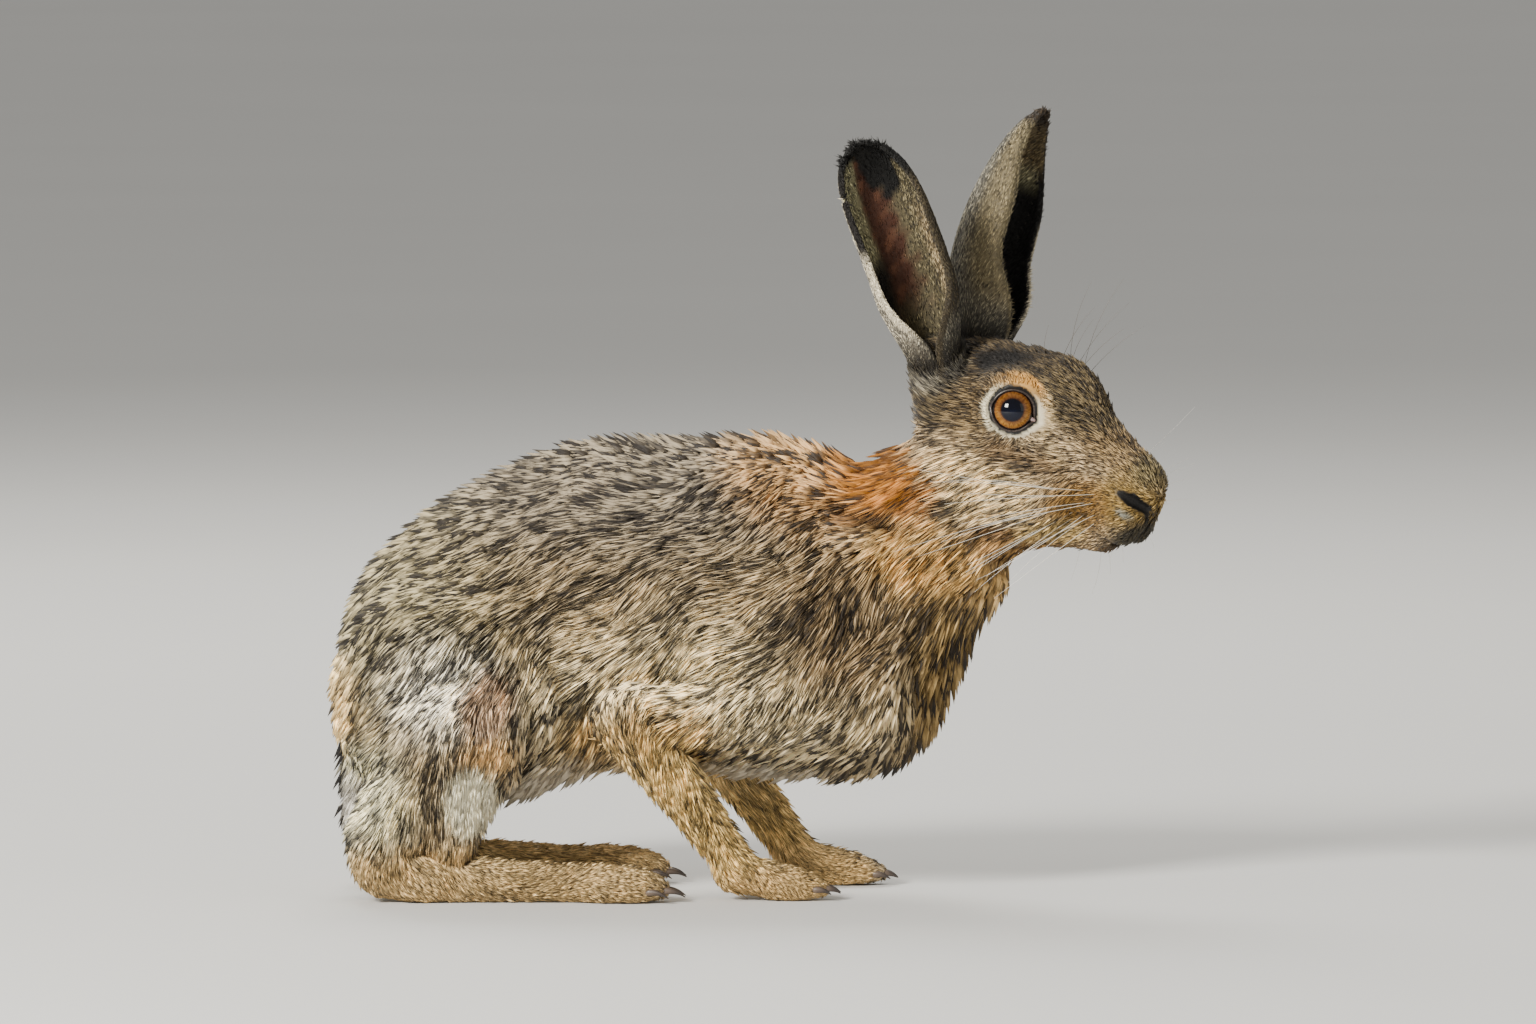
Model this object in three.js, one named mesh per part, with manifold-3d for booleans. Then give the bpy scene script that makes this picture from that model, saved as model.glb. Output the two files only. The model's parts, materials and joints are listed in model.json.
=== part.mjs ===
// Brown hare, adult, life size, in a low crouch with the head turned to its right and both ears up.
// Millimetres. +X runs to the nose, +Y to the animal's left, +Z up, the floor is z = 0.
// The solids reach out to the tips of the coat.
import * as THREE from 'three';
import { mergeVertices } from 'three/addons/utils/BufferGeometryUtils.js';
import Module from 'manifold-3d';

const wasm = await Module();
wasm.setup();

// Driving sizes
const GAP = 0.3;
const WELD = 0.12;
const HEAD_YAW = THREE.MathUtils.degToRad(25);
const HEAD_AT = new THREE.Vector3(175.4, -14, 214.7);
const HEAD_BLEND = 11;
const FAR_ARM_STEP = 26;
const HIND_INNER_Y = 27;
const FORE_INNER_Y = 20;
const TAIL_HALF_WIDTH = 22;
const FOOT_TOP = 22;
const PAW_TOP = 18;
const EYE_AT = [-2.3, 18, 2.2];
const EYE_RADIUS = 11;

// Rounded masses of the trunk: an ellipsoid has a middle, half sizes and a tilt in degrees about Y,
// a limb runs from one point to another with two radii. Blend is the width of the soft join.
const TRUNK = [
  { at: [-68, 0, 107], half: [66, 50, 71], tilt: -30, blend: 1 },
  { at: [-12, 0, 129], half: [88, 50, 75], tilt: 7, blend: 22 },
  { at: [60, 0, 127], half: [66, 49, 77.5], tilt: 0, blend: 34 },
  { at: [100, 0, 95], half: [39, 38, 46], tilt: -10, blend: 20 },
  { from: [106, 0, 136], to: [150, -9, 187], radii: [53, 39], flat: 0.8, blend: 18 },
  { from: [-115, 0, 84], to: [-121, 0, 34], radii: [20, 15], blend: 10 },
];

// Left hind limb: thigh, knee, shank, front of the shank, heel, instep and toes
const HIND_LIMB = [
  { at: [-88, 36, 92], half: [50, 27, 52], tilt: -20, blend: 16 },
  { at: [-58, 44, 86], half: [19, 15, 25], tilt: -30, blend: 14 },
  { from: [-82, 44, 73], to: [-114, 46, 28], radii: [27, 18], blend: 12 },
  { from: [-70, 44, 72], to: [-84, 46, 28], radii: [18, 14.5], blend: 12 },
  { from: [-113, 46, 14], to: [-94, 46, 11], radii: [13, 11], blend: 9 },
  { from: [-98, 46, 10], to: [-18, 47, 8.5], radii: [11.5, 9], blend: 6 },
  { at: [-8, 47.5, 7], half: [22, 14, 10], tilt: 0, blend: 6 },
];

// Left fore limb: shoulder, upper arm, forearm, paw and toes. Step is how far along the limb's
// own ends take part in the far limb's step forward.
const FORE_LIMB = [
  { at: [84, 30, 116], half: [30, 20, 56], tilt: 24, blend: 16, step: [0, 0] },
  { from: [76, 33, 86], to: [6, 36, 82], radii: [22, 17], blend: 14, step: [0, 1] },
  { from: [-6, 37, 82], to: [42, 37, 17], radii: [16, 10], blend: 10, step: [1, 1] },
  { from: [42, 37, 12], to: [66, 37, 7.5], radii: [9.5, 9], blend: 6, step: [1, 1] },
  { at: [70, 37, 6], half: [15, 10.5, 8], tilt: 0, blend: 5, step: [1, 1] },
];

// Head masses, measured from the point midway between the eyes in the head's own turned frame:
// cranium, brow, face, muzzle, nose and jaw
const HEAD = [
  { at: [-20, 0, 5], half: [36, 24, 28], tilt: -8, blend: 1 },
  { at: [7, 0, 2], half: [27, 23, 26], tilt: -28, blend: 8 },
  { from: [14, 0, -11], to: [46, 0, -30], radii: [27, 17], flat: 0.76, blend: 8 },
  { at: [42, 0, -36], half: [18.5, 15, 20], tilt: -25, blend: 7 },
  { at: [53, 0, -29], half: [9, 8.5, 9], tilt: -20, blend: 4 },
  { from: [-20, 0, -36], to: [31.5, 0, -53.2], radii: [24, 9.4], flat: 0.8, blend: 9 },
];

// Paired head masses, left side: cheek, brow ridge, lip and ear root
const HEAD_PAIRS = [
  { at: [-10, 15, -26], half: [34, 13.5, 26], tilt: -20, blend: 10 },
  { at: [-1, 18, 14], half: [15, 8, 7], tilt: -14, blend: 8 },
  { at: [45.5, 8, -46], half: [8.5, 9, 12], tilt: -10, blend: 6 },
  { from: [-36, 13, 6], to: [-39, 18, 22], radii: [16, 12.5], blend: 10 },
];

// Ears in the head's frame: a folded sheet carried from root to tip, open towards one side
const EAR_ROOT_RADIUS = 11;
const EAR_WALL = [4.2, 3.4];
const EAR_HALF_TURN = [172, 108, 83];
const EAR_RINGS = 11;
const EAR_SPAN_POINTS = 8;
const EARS = {
  right: {
    root: [-38, -15, 12],
    tip: [-57, -62, 120],
    open: [0.42, -0.9, 0],
    bow: [3, 0, 0],
    point: 4.5,
    radius: 19,
  },
  left: {
    root: [-38, 15, 12],
    tip: [-16, 46, 131],
    open: [0.998, 0.05, 0],
    bow: [-3, 0, 0],
    point: 1.7,
    radius: 21.5,
  },
};

// Grid spacing along each axis: from, to, step. The limbs are slim and take a finer grid.
const BODY_GRID = {
  x: [[-152, 115, 17.8], [115, 246, 8.2]],
  y: [[-80, 80, 10]],
  z: [[-8, 150, 15.8], [150, 276, 7.9]],
};
const LIMB_GRID = {
  x: [[-152, 124, 9.5]],
  y: [[-79, -19, 7.5], [-19, 19, 9.5], [19, 79, 7.5]],
  z: [[-6.3, 60, 6.6], [60, 170, 13]],
};
const LIMB_TOP_Z = 158;
const LIMB_FRONT_X = 112;

const MATERIALS = {
  coat: { color: 0x8f7a5c, roughness: 0.95 },
  coat_pale: { color: 0xcdb792, roughness: 0.95 },
  coat_rufous: { color: 0xa8693c, roughness: 0.95 },
  ear_coat: { color: 0x6d6152, roughness: 0.95 },
  eye: { color: 0x9a5a1c, roughness: 0.12 },
};

// Distance of a point from one rounded mass, negative inside
function ellipsoidDistance(p, mass) {
  const angle = THREE.MathUtils.degToRad(mass.tilt);
  const cos = Math.cos(angle);
  const sin = Math.sin(angle);
  const [hx, hy, hz] = mass.half;
  const dx = p[0] - mass.at[0];
  const dz = p[2] - mass.at[2];
  const a = (dx * cos + dz * sin) / hx;
  const b = (p[1] - mass.at[1]) / hy;
  const c = (dz * cos - dx * sin) / hz;
  const near = Math.hypot(a, b, c);
  const slope = Math.max(Math.hypot(a / hx, b / hy, c / hz), 1e-6);
  return (near * (near - 1)) / slope;
}

function limbDistance(p, mass) {
  const { from, to, radii } = mass;
  const flat = mass.flat ?? 1;
  const d = to.map((value, i) => value - from[i]);
  const q = p.map((value, i) => value - from[i]);
  const along = (q[0] * d[0] + q[1] * d[1] + q[2] * d[2]) / (d[0] ** 2 + d[1] ** 2 + d[2] ** 2);
  const t = THREE.MathUtils.clamp(along, 0, 1);
  const away = Math.hypot(q[0] - d[0] * t, (q[1] - d[1] * t) / flat, q[2] - d[2] * t);
  return (away - (radii[0] + (radii[1] - radii[0]) * t)) * flat;
}

function massDistance(p, mass) {
  return mass.half ? ellipsoidDistance(p, mass) : limbDistance(p, mass);
}

// Smaller of two distances with a soft join of the given width
function softMin(a, b, width) {
  const h = Math.max(width - Math.abs(a - b), 0) / width;
  return Math.min(a, b) - h * h * width * 0.25;
}

function joined(p, masses) {
  return masses.reduce((value, mass) => softMin(value, massDistance(p, mass), mass.blend), 1e4);
}

function mirrored(mass) {
  const flip = (v) => v && [v[0], -v[1], v[2]];
  return { ...mass, at: flip(mass.at), from: flip(mass.from), to: flip(mass.to) };
}

function stepped(mass, distance) {
  const move = (v, share) => v && [v[0] + distance * share, v[1], v[2]];
  const [first, last] = mass.step;
  return { ...mass, at: move(mass.at, last), from: move(mass.from, first), to: move(mass.to, last) };
}

const BODY_MASSES = [
  ...TRUNK,
  ...HIND_LIMB,
  ...HIND_LIMB.map(mirrored),
  ...FORE_LIMB.map((mass) => stepped(mass, FAR_ARM_STEP)),
  ...FORE_LIMB.map(mirrored),
];
const HEAD_MASSES = [...HEAD, ...HEAD_PAIRS, ...HEAD_PAIRS.map(mirrored)];

// Placing of the head's own frame in the body's frame
const headFrame = new THREE.Matrix4().makeRotationZ(-HEAD_YAW).setPosition(HEAD_AT);

function hareDistance(p) {
  const cos = Math.cos(HEAD_YAW);
  const sin = Math.sin(HEAD_YAW);
  const dx = p[0] - HEAD_AT.x;
  const dy = p[1] - HEAD_AT.y;
  const inHead = [dx * cos - dy * sin, dx * sin + dy * cos, p[2] - HEAD_AT.z];
  return softMin(joined(p, BODY_MASSES), joined(inHead, HEAD_MASSES), HEAD_BLEND);
}

// The same field closed off above and in front of the limbs
function limbDistanceField(p) {
  return Math.max(hareDistance(p), p[2] - LIMB_TOP_Z, p[0] - LIMB_FRONT_X);
}

// Coordinates of the grid planes along one axis
function planes(parts) {
  const values = [parts[0][0]];
  for (const [from, to, step] of parts) {
    const count = Math.round((to - from) / step);
    for (let i = 1; i <= count; i += 1) {
      values.push(from + ((to - from) * i) / count);
    }
  }
  return values;
}

function gradient(p, distance) {
  const h = 0.25;
  return [0, 1, 2].map((axis) => {
    const ahead = [...p];
    const behind = [...p];
    ahead[axis] += h;
    behind[axis] -= h;
    return (distance(ahead) - distance(behind)) / (2 * h);
  });
}

function ontoSurface(p, distance, level) {
  let point = p;
  for (let pass = 0; pass < 2; pass += 1) {
    const slope = gradient(point, distance);
    const size = slope[0] ** 2 + slope[1] ** 2 + slope[2] ** 2;
    const move = (distance(point) - level) / size;
    point = point.map((value, i) => value - slope[i] * move);
  }
  return point;
}

// Closed skin of a distance function: one point in each cell the surface crosses,
// one four-sided face for each grid edge it crosses, then every point moved onto the surface
function skinOf(distance, grid) {
  const axes = [planes(grid.x), planes(grid.y), planes(grid.z)];
  const [nx, ny, nz] = axes.map((list) => list.length);
  const index = (i, j, k) => (i * ny + j) * nz + k;
  const field = new Float64Array(nx * ny * nz);
  for (let i = 0; i < nx; i += 1) {
    for (let j = 0; j < ny; j += 1) {
      for (let k = 0; k < nz; k += 1) {
        field[index(i, j, k)] = distance([axes[0][i], axes[1][j], axes[2][k]]);
      }
    }
  }
  const sums = new Map();
  const quads = [];
  const cross = (cell, point) => {
    const sum = sums.get(cell) ?? [0, 0, 0, 0];
    sums.set(cell, [sum[0] + point[0], sum[1] + point[1], sum[2] + point[2], sum[3] + 1]);
  };
  const stride = [ny * nz, nz, 1];
  for (let i = 0; i < nx - 1; i += 1) {
    for (let j = 0; j < ny - 1; j += 1) {
      for (let k = 0; k < nz - 1; k += 1) {
        const here = index(i, j, k);
        for (let axis = 0; axis < 3; axis += 1) {
          const there = here + stride[axis];
          if (field[here] < 0 === field[there] < 0) {
            continue;
          }
          const place = [i, j, k];
          const share = field[here] / (field[here] - field[there]);
          const point = place.map((n, a) => axes[a][n]);
          point[axis] += (axes[axis][place[axis] + 1] - point[axis]) * share;
          const [b, c] = [stride[(axis + 1) % 3], stride[(axis + 2) % 3]];
          const cells = [here, here - b, here - b - c, here - c];
          cells.forEach((cell) => cross(cell, point));
          quads.push(field[here] < 0 ? cells : cells.reverse());
        }
      }
    }
  }
  const numbers = new Map();
  const positions = [];
  for (const [cell, sum] of sums) {
    numbers.set(cell, numbers.size);
    const middle = [sum[0] / sum[3], sum[1] / sum[3], sum[2] / sum[3]];
    positions.push(...ontoSurface(middle, distance, 0));
  }
  const faces = quads.flatMap((quad) => {
    const [a, b, c, d] = quad.map((cell) => numbers.get(cell));
    return [a, b, c, a, c, d];
  });
  return indexed(positions, faces);
}

function indexed(positions, faces) {
  const geometry = new THREE.BufferGeometry();
  geometry.setAttribute('position', new THREE.Float32BufferAttribute(positions, 3));
  geometry.setIndex(faces);
  return geometry;
}

// A copy of the skin moved outwards along the surface by a small amount
function grownSkin(geometry, amount) {
  const grown = geometry.clone();
  const position = grown.getAttribute('position');
  for (let i = 0; i < position.count; i += 1) {
    const point = [position.getX(i), position.getY(i), position.getZ(i)];
    const slope = gradient(point, hareDistance);
    const size = Math.hypot(...slope);
    position.setXYZ(i, ...point.map((value, axis) => value + (slope[axis] / size) * amount));
  }
  return grown;
}

function toSolid(geometry) {
  const plain = geometry.clone();
  plain.deleteAttribute('normal');
  plain.deleteAttribute('uv');
  const welded = mergeVertices(plain, 1e-4);
  return new wasm.Manifold(new wasm.Mesh({
    numProp: 3,
    vertProperties: new Float32Array(welded.getAttribute('position').array),
    triVerts: new Uint32Array(welded.getIndex().array),
  }));
}

// Mesh of a solid, with the ends of very short edges joined and the slivers between them dropped
function toGeometry(solid) {
  const { vertProperties: place, triVerts: faces } = solid.getMesh();
  const joinedTo = Array.from({ length: place.length / 3 }, (_, i) => i);
  const find = (i) => {
    let at = i;
    while (joinedTo[at] !== at) {
      at = joinedTo[at];
    }
    return at;
  };
  for (let i = 0; i < faces.length; i += 1) {
    const a = faces[i];
    const b = faces[i % 3 === 2 ? i - 2 : i + 1];
    const length = Math.hypot(...[0, 1, 2].map((axis) => place[3 * a + axis] - place[3 * b + axis]));
    if (length < WELD) {
      joinedTo[Math.max(find(a), find(b))] = Math.min(find(a), find(b));
    }
  }
  const kept = [];
  for (let i = 0; i < faces.length; i += 3) {
    const [a, b, c] = [find(faces[i]), find(faces[i + 1]), find(faces[i + 2])];
    if (a !== b && b !== c && c !== a) {
      kept.push(a, b, c);
    }
  }
  const geometry = mergeVertices(indexed(Array.from(place), kept), 1e-4);
  geometry.computeVertexNormals();
  return geometry;
}

// Block that fills the space on one side of a plane
function halfSpace(point, normal, offset) {
  const side = 900;
  const axis = new THREE.Vector3(...normal).normalize();
  const block = new THREE.BoxGeometry(side, side, side);
  block.translate(0, 0, side / 2 + offset);
  block.applyQuaternion(new THREE.Quaternion().setFromUnitVectors(new THREE.Vector3(0, 0, 1), axis));
  block.translate(...point);
  return toSolid(block);
}

// Side outline round two discs of different radius, pushed through from one y to another
function limbBlock([a, b], yRange, grow) {
  const [ra, rb] = [a[2] + grow, b[2] + grow];
  const length = Math.hypot(b[0] - a[0], b[1] - a[1]);
  const heading = Math.atan2(b[1] - a[1], b[0] - a[0]);
  const spread = Math.acos((ra - rb) / length);
  const shape = new THREE.Shape();
  shape.absarc(a[0], a[1], ra, heading + spread, heading + 2 * Math.PI - spread);
  shape.absarc(b[0], b[1], rb, heading - spread, heading + spread);
  const depth = yRange[1] - yRange[0] + 2 * grow;
  const block = new THREE.ExtrudeGeometry(shape, { depth, bevelEnabled: false, curveSegments: 5 });
  block.rotateX(Math.PI / 2);
  block.translate(0, yRange[1] + grow, 0);
  return toSolid(block);
}

function limbBlocks(links, yRange, grow) {
  return links.map((link) => limbBlock(link, yRange, grow)).reduce((all, block) => all.add(block));
}

// Ear: a thin sheet, curled like an open tube at the root and like a leaf at the tip
function earSheet({ root, tip, open, bow, point, radius: fullRadius }) {
  const start = new THREE.Vector3(...root);
  const along = new THREE.Vector3(...tip).sub(start);
  const axis = along.clone().normalize();
  const front = new THREE.Vector3(...open);
  front.addScaledVector(axis, -front.dot(axis)).normalize();
  const side = new THREE.Vector3().crossVectors(axis, front);
  const positions = [];
  const faces = [];
  const ring = 2 * EAR_SPAN_POINTS;
  for (let i = 0; i < EAR_RINGS; i += 1) {
    const t = 1 - (1 - i / (EAR_RINGS - 1)) ** 1.35;
    const taper = Math.sqrt(1 - (0.985 * THREE.MathUtils.clamp((t - 0.5) / 0.5, 0, 1)) ** point);
    const spread = THREE.MathUtils.smoothstep(t, 0.02, 0.42);
    const radius = (EAR_ROOT_RADIUS + (fullRadius - EAR_ROOT_RADIUS) * spread) * taper;
    const wall = Math.min(EAR_WALL[0] + (EAR_WALL[1] - EAR_WALL[0]) * t, 0.6 * radius);
    const opened = (EAR_HALF_TURN[0] - EAR_HALF_TURN[1]) * THREE.MathUtils.smoothstep(t, 0.12, 0.5);
    const uncurled = (EAR_HALF_TURN[1] - EAR_HALF_TURN[2]) * THREE.MathUtils.smoothstep(t, 0.6, 1);
    const halfTurn = THREE.MathUtils.degToRad(EAR_HALF_TURN[0] - opened - uncurled);
    const middle = start.clone().addScaledVector(along, t);
    middle.addScaledVector(new THREE.Vector3(...bow), Math.sin(Math.PI * t));
    for (let j = 0; j < ring; j += 1) {
      const outer = j < EAR_SPAN_POINTS;
      const step = outer ? j : ring - 1 - j;
      const angle = halfTurn * ((2 * step) / (EAR_SPAN_POINTS - 1) - 1);
      const reach = outer ? radius : radius - wall;
      const spot = middle.clone();
      spot.addScaledVector(side, reach * Math.sin(angle));
      spot.addScaledVector(front, -reach * Math.cos(angle));
      positions.push(spot.x, spot.y, spot.z);
    }
  }
  for (let i = 0; i < EAR_RINGS - 1; i += 1) {
    for (let j = 0; j < ring; j += 1) {
      const [a, b] = [i * ring + j, i * ring + ((j + 1) % ring)];
      faces.push(a, b + ring, b, a, a + ring, b + ring);
    }
  }
  const last = (EAR_RINGS - 1) * ring;
  for (let j = 0; j < EAR_SPAN_POINTS - 1; j += 1) {
    const [a, b, c, d] = [j, j + 1, ring - 2 - j, ring - 1 - j];
    faces.push(a, b, c, a, c, d);
    faces.push(last + a, last + c, last + b, last + a, last + d, last + c);
  }
  return indexed(positions, faces);
}

function eyeBall(side, radius) {
  const ball = new THREE.SphereGeometry(radius, 14, 9);
  ball.rotateX(Math.PI / 2);
  ball.translate(EYE_AT[0], side * EYE_AT[1], EYE_AT[2]);
  return ball.applyMatrix4(headFrame);
}

// Planes that part head from neck and neck from trunk
const NAPE_PLANE = { point: [150, -8, 186], normal: [0.72, -0.2, 0.67] };
const WITHERS_PLANE = { point: [124, 0, 158], normal: [0.84, -0.05, 0.54] };

// Side outlines of the limbs: x, z and radius at the ends of each link
const HIND_LINKS = [
  [[-88, 95, 54], [-84, 80, 50]],
  [[-90, 72, 44], [-112, 18, 34]],
  [[-112, 0, 40], [-2, 0, 30]],
];
const FORE_LINKS = [
  [[74, 88, 27], [0, 82, 24]],
  [[0, 82, 24], [46, 14, 20]],
  [[46, 4, 26], [72, 2, 24]],
];
const TAIL_LINKS = [[[-136, 84, 24], [-134, 26, 22]]];
const LIMB_OUTER_Y = 110;

function sided(side, inner) {
  return side > 0 ? [inner, LIMB_OUTER_Y] : [-LIMB_OUTER_Y, -inner];
}

function steppedLinks(links, distance) {
  const share = [[0, 1], [1, 1], [1, 1]];
  return links.map((link, i) => link.map((end, j) => [end[0] + distance * share[i][j], end[1], end[2]]));
}

function buildSolids() {
  const skin = skinOf(hareDistance, BODY_GRID);
  const floorSide = halfSpace([0, 0, 0], [0, 0, 1], 0);
  const whole = toSolid(skin).intersect(floorSide);
  const limbSkin = skinOf(limbDistanceField, LIMB_GRID);
  const limbStock = toSolid(limbSkin).intersect(floorSide);
  const solids = {};

  let head = whole.intersect(halfSpace(NAPE_PLANE.point, NAPE_PLANE.normal, GAP / 2));
  const flipped = (normal) => normal.map((value) => -value);
  const behind = whole.intersect(halfSpace(NAPE_PLANE.point, flipped(NAPE_PLANE.normal), GAP / 2));
  solids.neck = behind.intersect(halfSpace(WITHERS_PLANE.point, WITHERS_PLANE.normal, GAP / 2));
  let trunk = behind.intersect(halfSpace(WITHERS_PLANE.point, flipped(WITHERS_PLANE.normal), GAP / 2));

  for (const [name, side] of [['right', -1], ['left', 1]]) {
    const step = side > 0 ? FAR_ARM_STEP : 0;
    const limbs = [
      ['hind', HIND_LINKS, HIND_INNER_Y, FOOT_TOP],
      ['fore', steppedLinks(FORE_LINKS, step), FORE_INNER_Y, PAW_TOP],
    ];
    for (const [end, links, inner, footTop] of limbs) {
      const limb = limbStock.intersect(limbBlocks(links, sided(side, inner), 0));
      trunk = trunk.subtract(limbBlocks(links, sided(side, inner), GAP));
      solids[`${end}_leg_${name}`] = limb.intersect(halfSpace([0, 0, footTop], [0, 0, 1], GAP / 2));
      solids[`${end}_foot_${name}`] = limb.intersect(halfSpace([0, 0, footTop], [0, 0, -1], GAP / 2));
    }
    head = head.subtract(toSolid(eyeBall(side, EYE_RADIUS + GAP)));
    solids[`eye_${name}`] = toSolid(eyeBall(side, EYE_RADIUS));
    const sheet = toSolid(earSheet(EARS[name]).applyMatrix4(headFrame));
    solids[`ear_${name}`] = sheet.subtract(toSolid(grownSkin(skin, GAP)));
  }
  const tailRange = [-TAIL_HALF_WIDTH, TAIL_HALF_WIDTH];
  solids.tail = limbStock.intersect(limbBlocks(TAIL_LINKS, tailRange, 0));
  solids.trunk = trunk.subtract(limbBlocks(TAIL_LINKS, tailRange, GAP));
  solids.head = head;
  return solids;
}

const SLOTS = [
  [/^eye/, 'eye'],
  [/^ear/, 'ear_coat'],
  [/^neck/, 'coat_rufous'],
  [/^(fore|hind)_foot|^fore_leg|^tail/, 'coat_pale'],
  [/./, 'coat'],
];

function buildHare() {
  const group = new THREE.Group();
  group.name = 'brown_hare';
  for (const [name, solid] of Object.entries(buildSolids())) {
    const slot = SLOTS.find(([pattern]) => pattern.test(name))[1];
    const mesh = new THREE.Mesh(toGeometry(solid), new THREE.MeshStandardMaterial(MATERIALS[slot]));
    mesh.name = name;
    group.add(mesh);
  }
  const box = new THREE.Box3().setFromObject(group);
  const middle = box.getCenter(new THREE.Vector3());
  group.position.set(-middle.x, -middle.y, -box.min.z);
  return group;
}

export default buildHare();
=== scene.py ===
# %% [markdown]
# # A brown hare at life size
# A brown hare crouches with its back arched and both ears up. The measured solids come first: they
# hold the true outline out to the tips of the coat. Over them this lesson grows what is looked at:
# one skin, two wet eyes with lids, and a coat of small solid tufts that follow the lie of the hair.

import json
import math
import time

import bpy
import numpy as np
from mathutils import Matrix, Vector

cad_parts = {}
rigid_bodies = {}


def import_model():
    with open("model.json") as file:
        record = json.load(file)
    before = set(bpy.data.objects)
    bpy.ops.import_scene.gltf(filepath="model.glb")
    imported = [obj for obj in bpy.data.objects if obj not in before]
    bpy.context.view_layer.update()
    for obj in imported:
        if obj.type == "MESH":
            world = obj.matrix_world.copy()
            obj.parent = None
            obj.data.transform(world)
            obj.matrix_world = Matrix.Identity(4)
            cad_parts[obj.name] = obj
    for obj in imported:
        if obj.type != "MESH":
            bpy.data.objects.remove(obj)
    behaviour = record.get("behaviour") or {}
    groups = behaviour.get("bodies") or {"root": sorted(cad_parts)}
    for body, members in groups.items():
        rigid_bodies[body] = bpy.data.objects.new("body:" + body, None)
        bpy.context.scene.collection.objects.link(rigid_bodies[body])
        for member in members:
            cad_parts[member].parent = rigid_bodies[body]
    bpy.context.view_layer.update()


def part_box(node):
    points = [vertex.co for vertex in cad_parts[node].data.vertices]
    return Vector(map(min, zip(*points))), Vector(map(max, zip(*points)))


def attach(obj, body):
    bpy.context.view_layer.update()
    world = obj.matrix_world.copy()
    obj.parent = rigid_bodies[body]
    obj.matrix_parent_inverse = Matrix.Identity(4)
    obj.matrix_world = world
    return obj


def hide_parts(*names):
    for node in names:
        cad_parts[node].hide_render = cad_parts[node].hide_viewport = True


started = time.time()
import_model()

# %% [markdown]
# ## The body as soft masses
# An animal has no flat faces, so it could be sculpted by hand, or built as rounded masses that melt
# into each other. Masses are chosen because each one has a name and a size, and because the same
# formula that gives the outer solids, taken a coat's depth further in, gives the skin.
# Each line holds: shape, width of the soft join, coat depth, hair length, lie of the hair.
# A ball has middle, half sizes and tilt; a limb has two ends and two radii. All in millimetres.

# %% Masses of the body


def ball(at, half, tilt=0):
    """An ellipsoid: its middle, its half sizes, and by how many degrees its front end is raised."""
    return {"kind": "ball", "at": at, "half": half, "tilt": math.radians(tilt)}


def limb(start, end, radii, flat=1.0):
    """A tapered rod between two ends; flat is its width across the animal over its height."""
    return {"kind": "limb", "from": start, "to": end, "radii": radii, "flat": flat}


TRUNK = [
    (ball((-68, 0, 107), (66, 50, 71), -30), 1, 9, 15, (-0.70, 0, -0.70)),
    (ball((-12, 0, 129), (88, 50, 75), 7), 22, 9, 15, (-0.92, 0, -0.40)),
    (ball((60, 0, 127), (66, 49, 77.5), 0), 34, 9, 15, (-0.85, 0, -0.52)),
    (ball((100, 0, 95), (39, 38, 46), -10), 20, 10, 19, (-0.40, 0, -0.92)),
    (limb((106, 0, 136), (150, -9, 187), (53, 39), 0.8), 18, 10, 18, (-0.80, 0, -0.60)),
    (limb((-115, 0, 84), (-121, 0, 34), (20, 15)), 10, 8, 14, (-0.10, 0, -1.0)),
]
HIND_LIMB = [
    (ball((-88, 36, 92), (50, 27, 52), -20), 16, 8, 14, (-0.60, 0, -0.80)),
    (ball((-58, 44, 86), (19, 15, 25), -30), 14, 7, 13, (-0.30, 0, -0.95)),
    (limb((-82, 44, 73), (-114, 46, 28), (27, 18)), 12, 5.5, 11, (-0.50, 0, -0.86)),
    (limb((-70, 44, 72), (-84, 46, 28), (18, 14.5)), 12, 5, 9, (-0.30, 0, -0.95)),
    (limb((-113, 46, 14), (-94, 46, 11), (13, 11)), 9, 3, 7, (0.30, 0, -0.95)),
    (limb((-98, 46, 10), (-18, 47, 8.5), (11.5, 9)), 6, 3, 7, (1.0, 0, -0.12)),
    (ball((-8, 47.5, 7), (22, 14, 10), 0), 6, 2.6, 6, (1.0, 0, -0.25)),
]
FORE_LIMB = [
    (ball((84, 30, 116), (30, 20, 56), 24), 16, 9, 14.5, (-0.55, 0, -0.84)),
    (limb((76, 33, 86), (6, 36, 82), (22, 17)), 14, 7, 12.5, (-0.75, 0, -0.66)),
    (limb((-6, 37, 82), (42, 37, 17), (16, 10)), 10, 4, 10.5, (0.35, 0, -0.93)),
    (limb((42, 37, 12), (66, 37, 7.5), (9.5, 9)), 6, 2.6, 6, (0.95, 0, -0.30)),
    (ball((70, 37, 6), (15, 10.5, 8), 0), 5, 2.2, 5, (1.0, 0, -0.30)),
]
print("masses of trunk, hind limb, fore limb:", len(TRUNK), len(HIND_LIMB), len(FORE_LIMB))

# %% [markdown]
# ## The head, and the other side
# The head is turned, so its masses are written in a frame of its own: forwards, left and up from
# the point midway between the eyes. Limbs and cheeks come in pairs, so only one side is written and
# the other is its mirror image. The far fore foot stands a step ahead of the near one.

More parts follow.
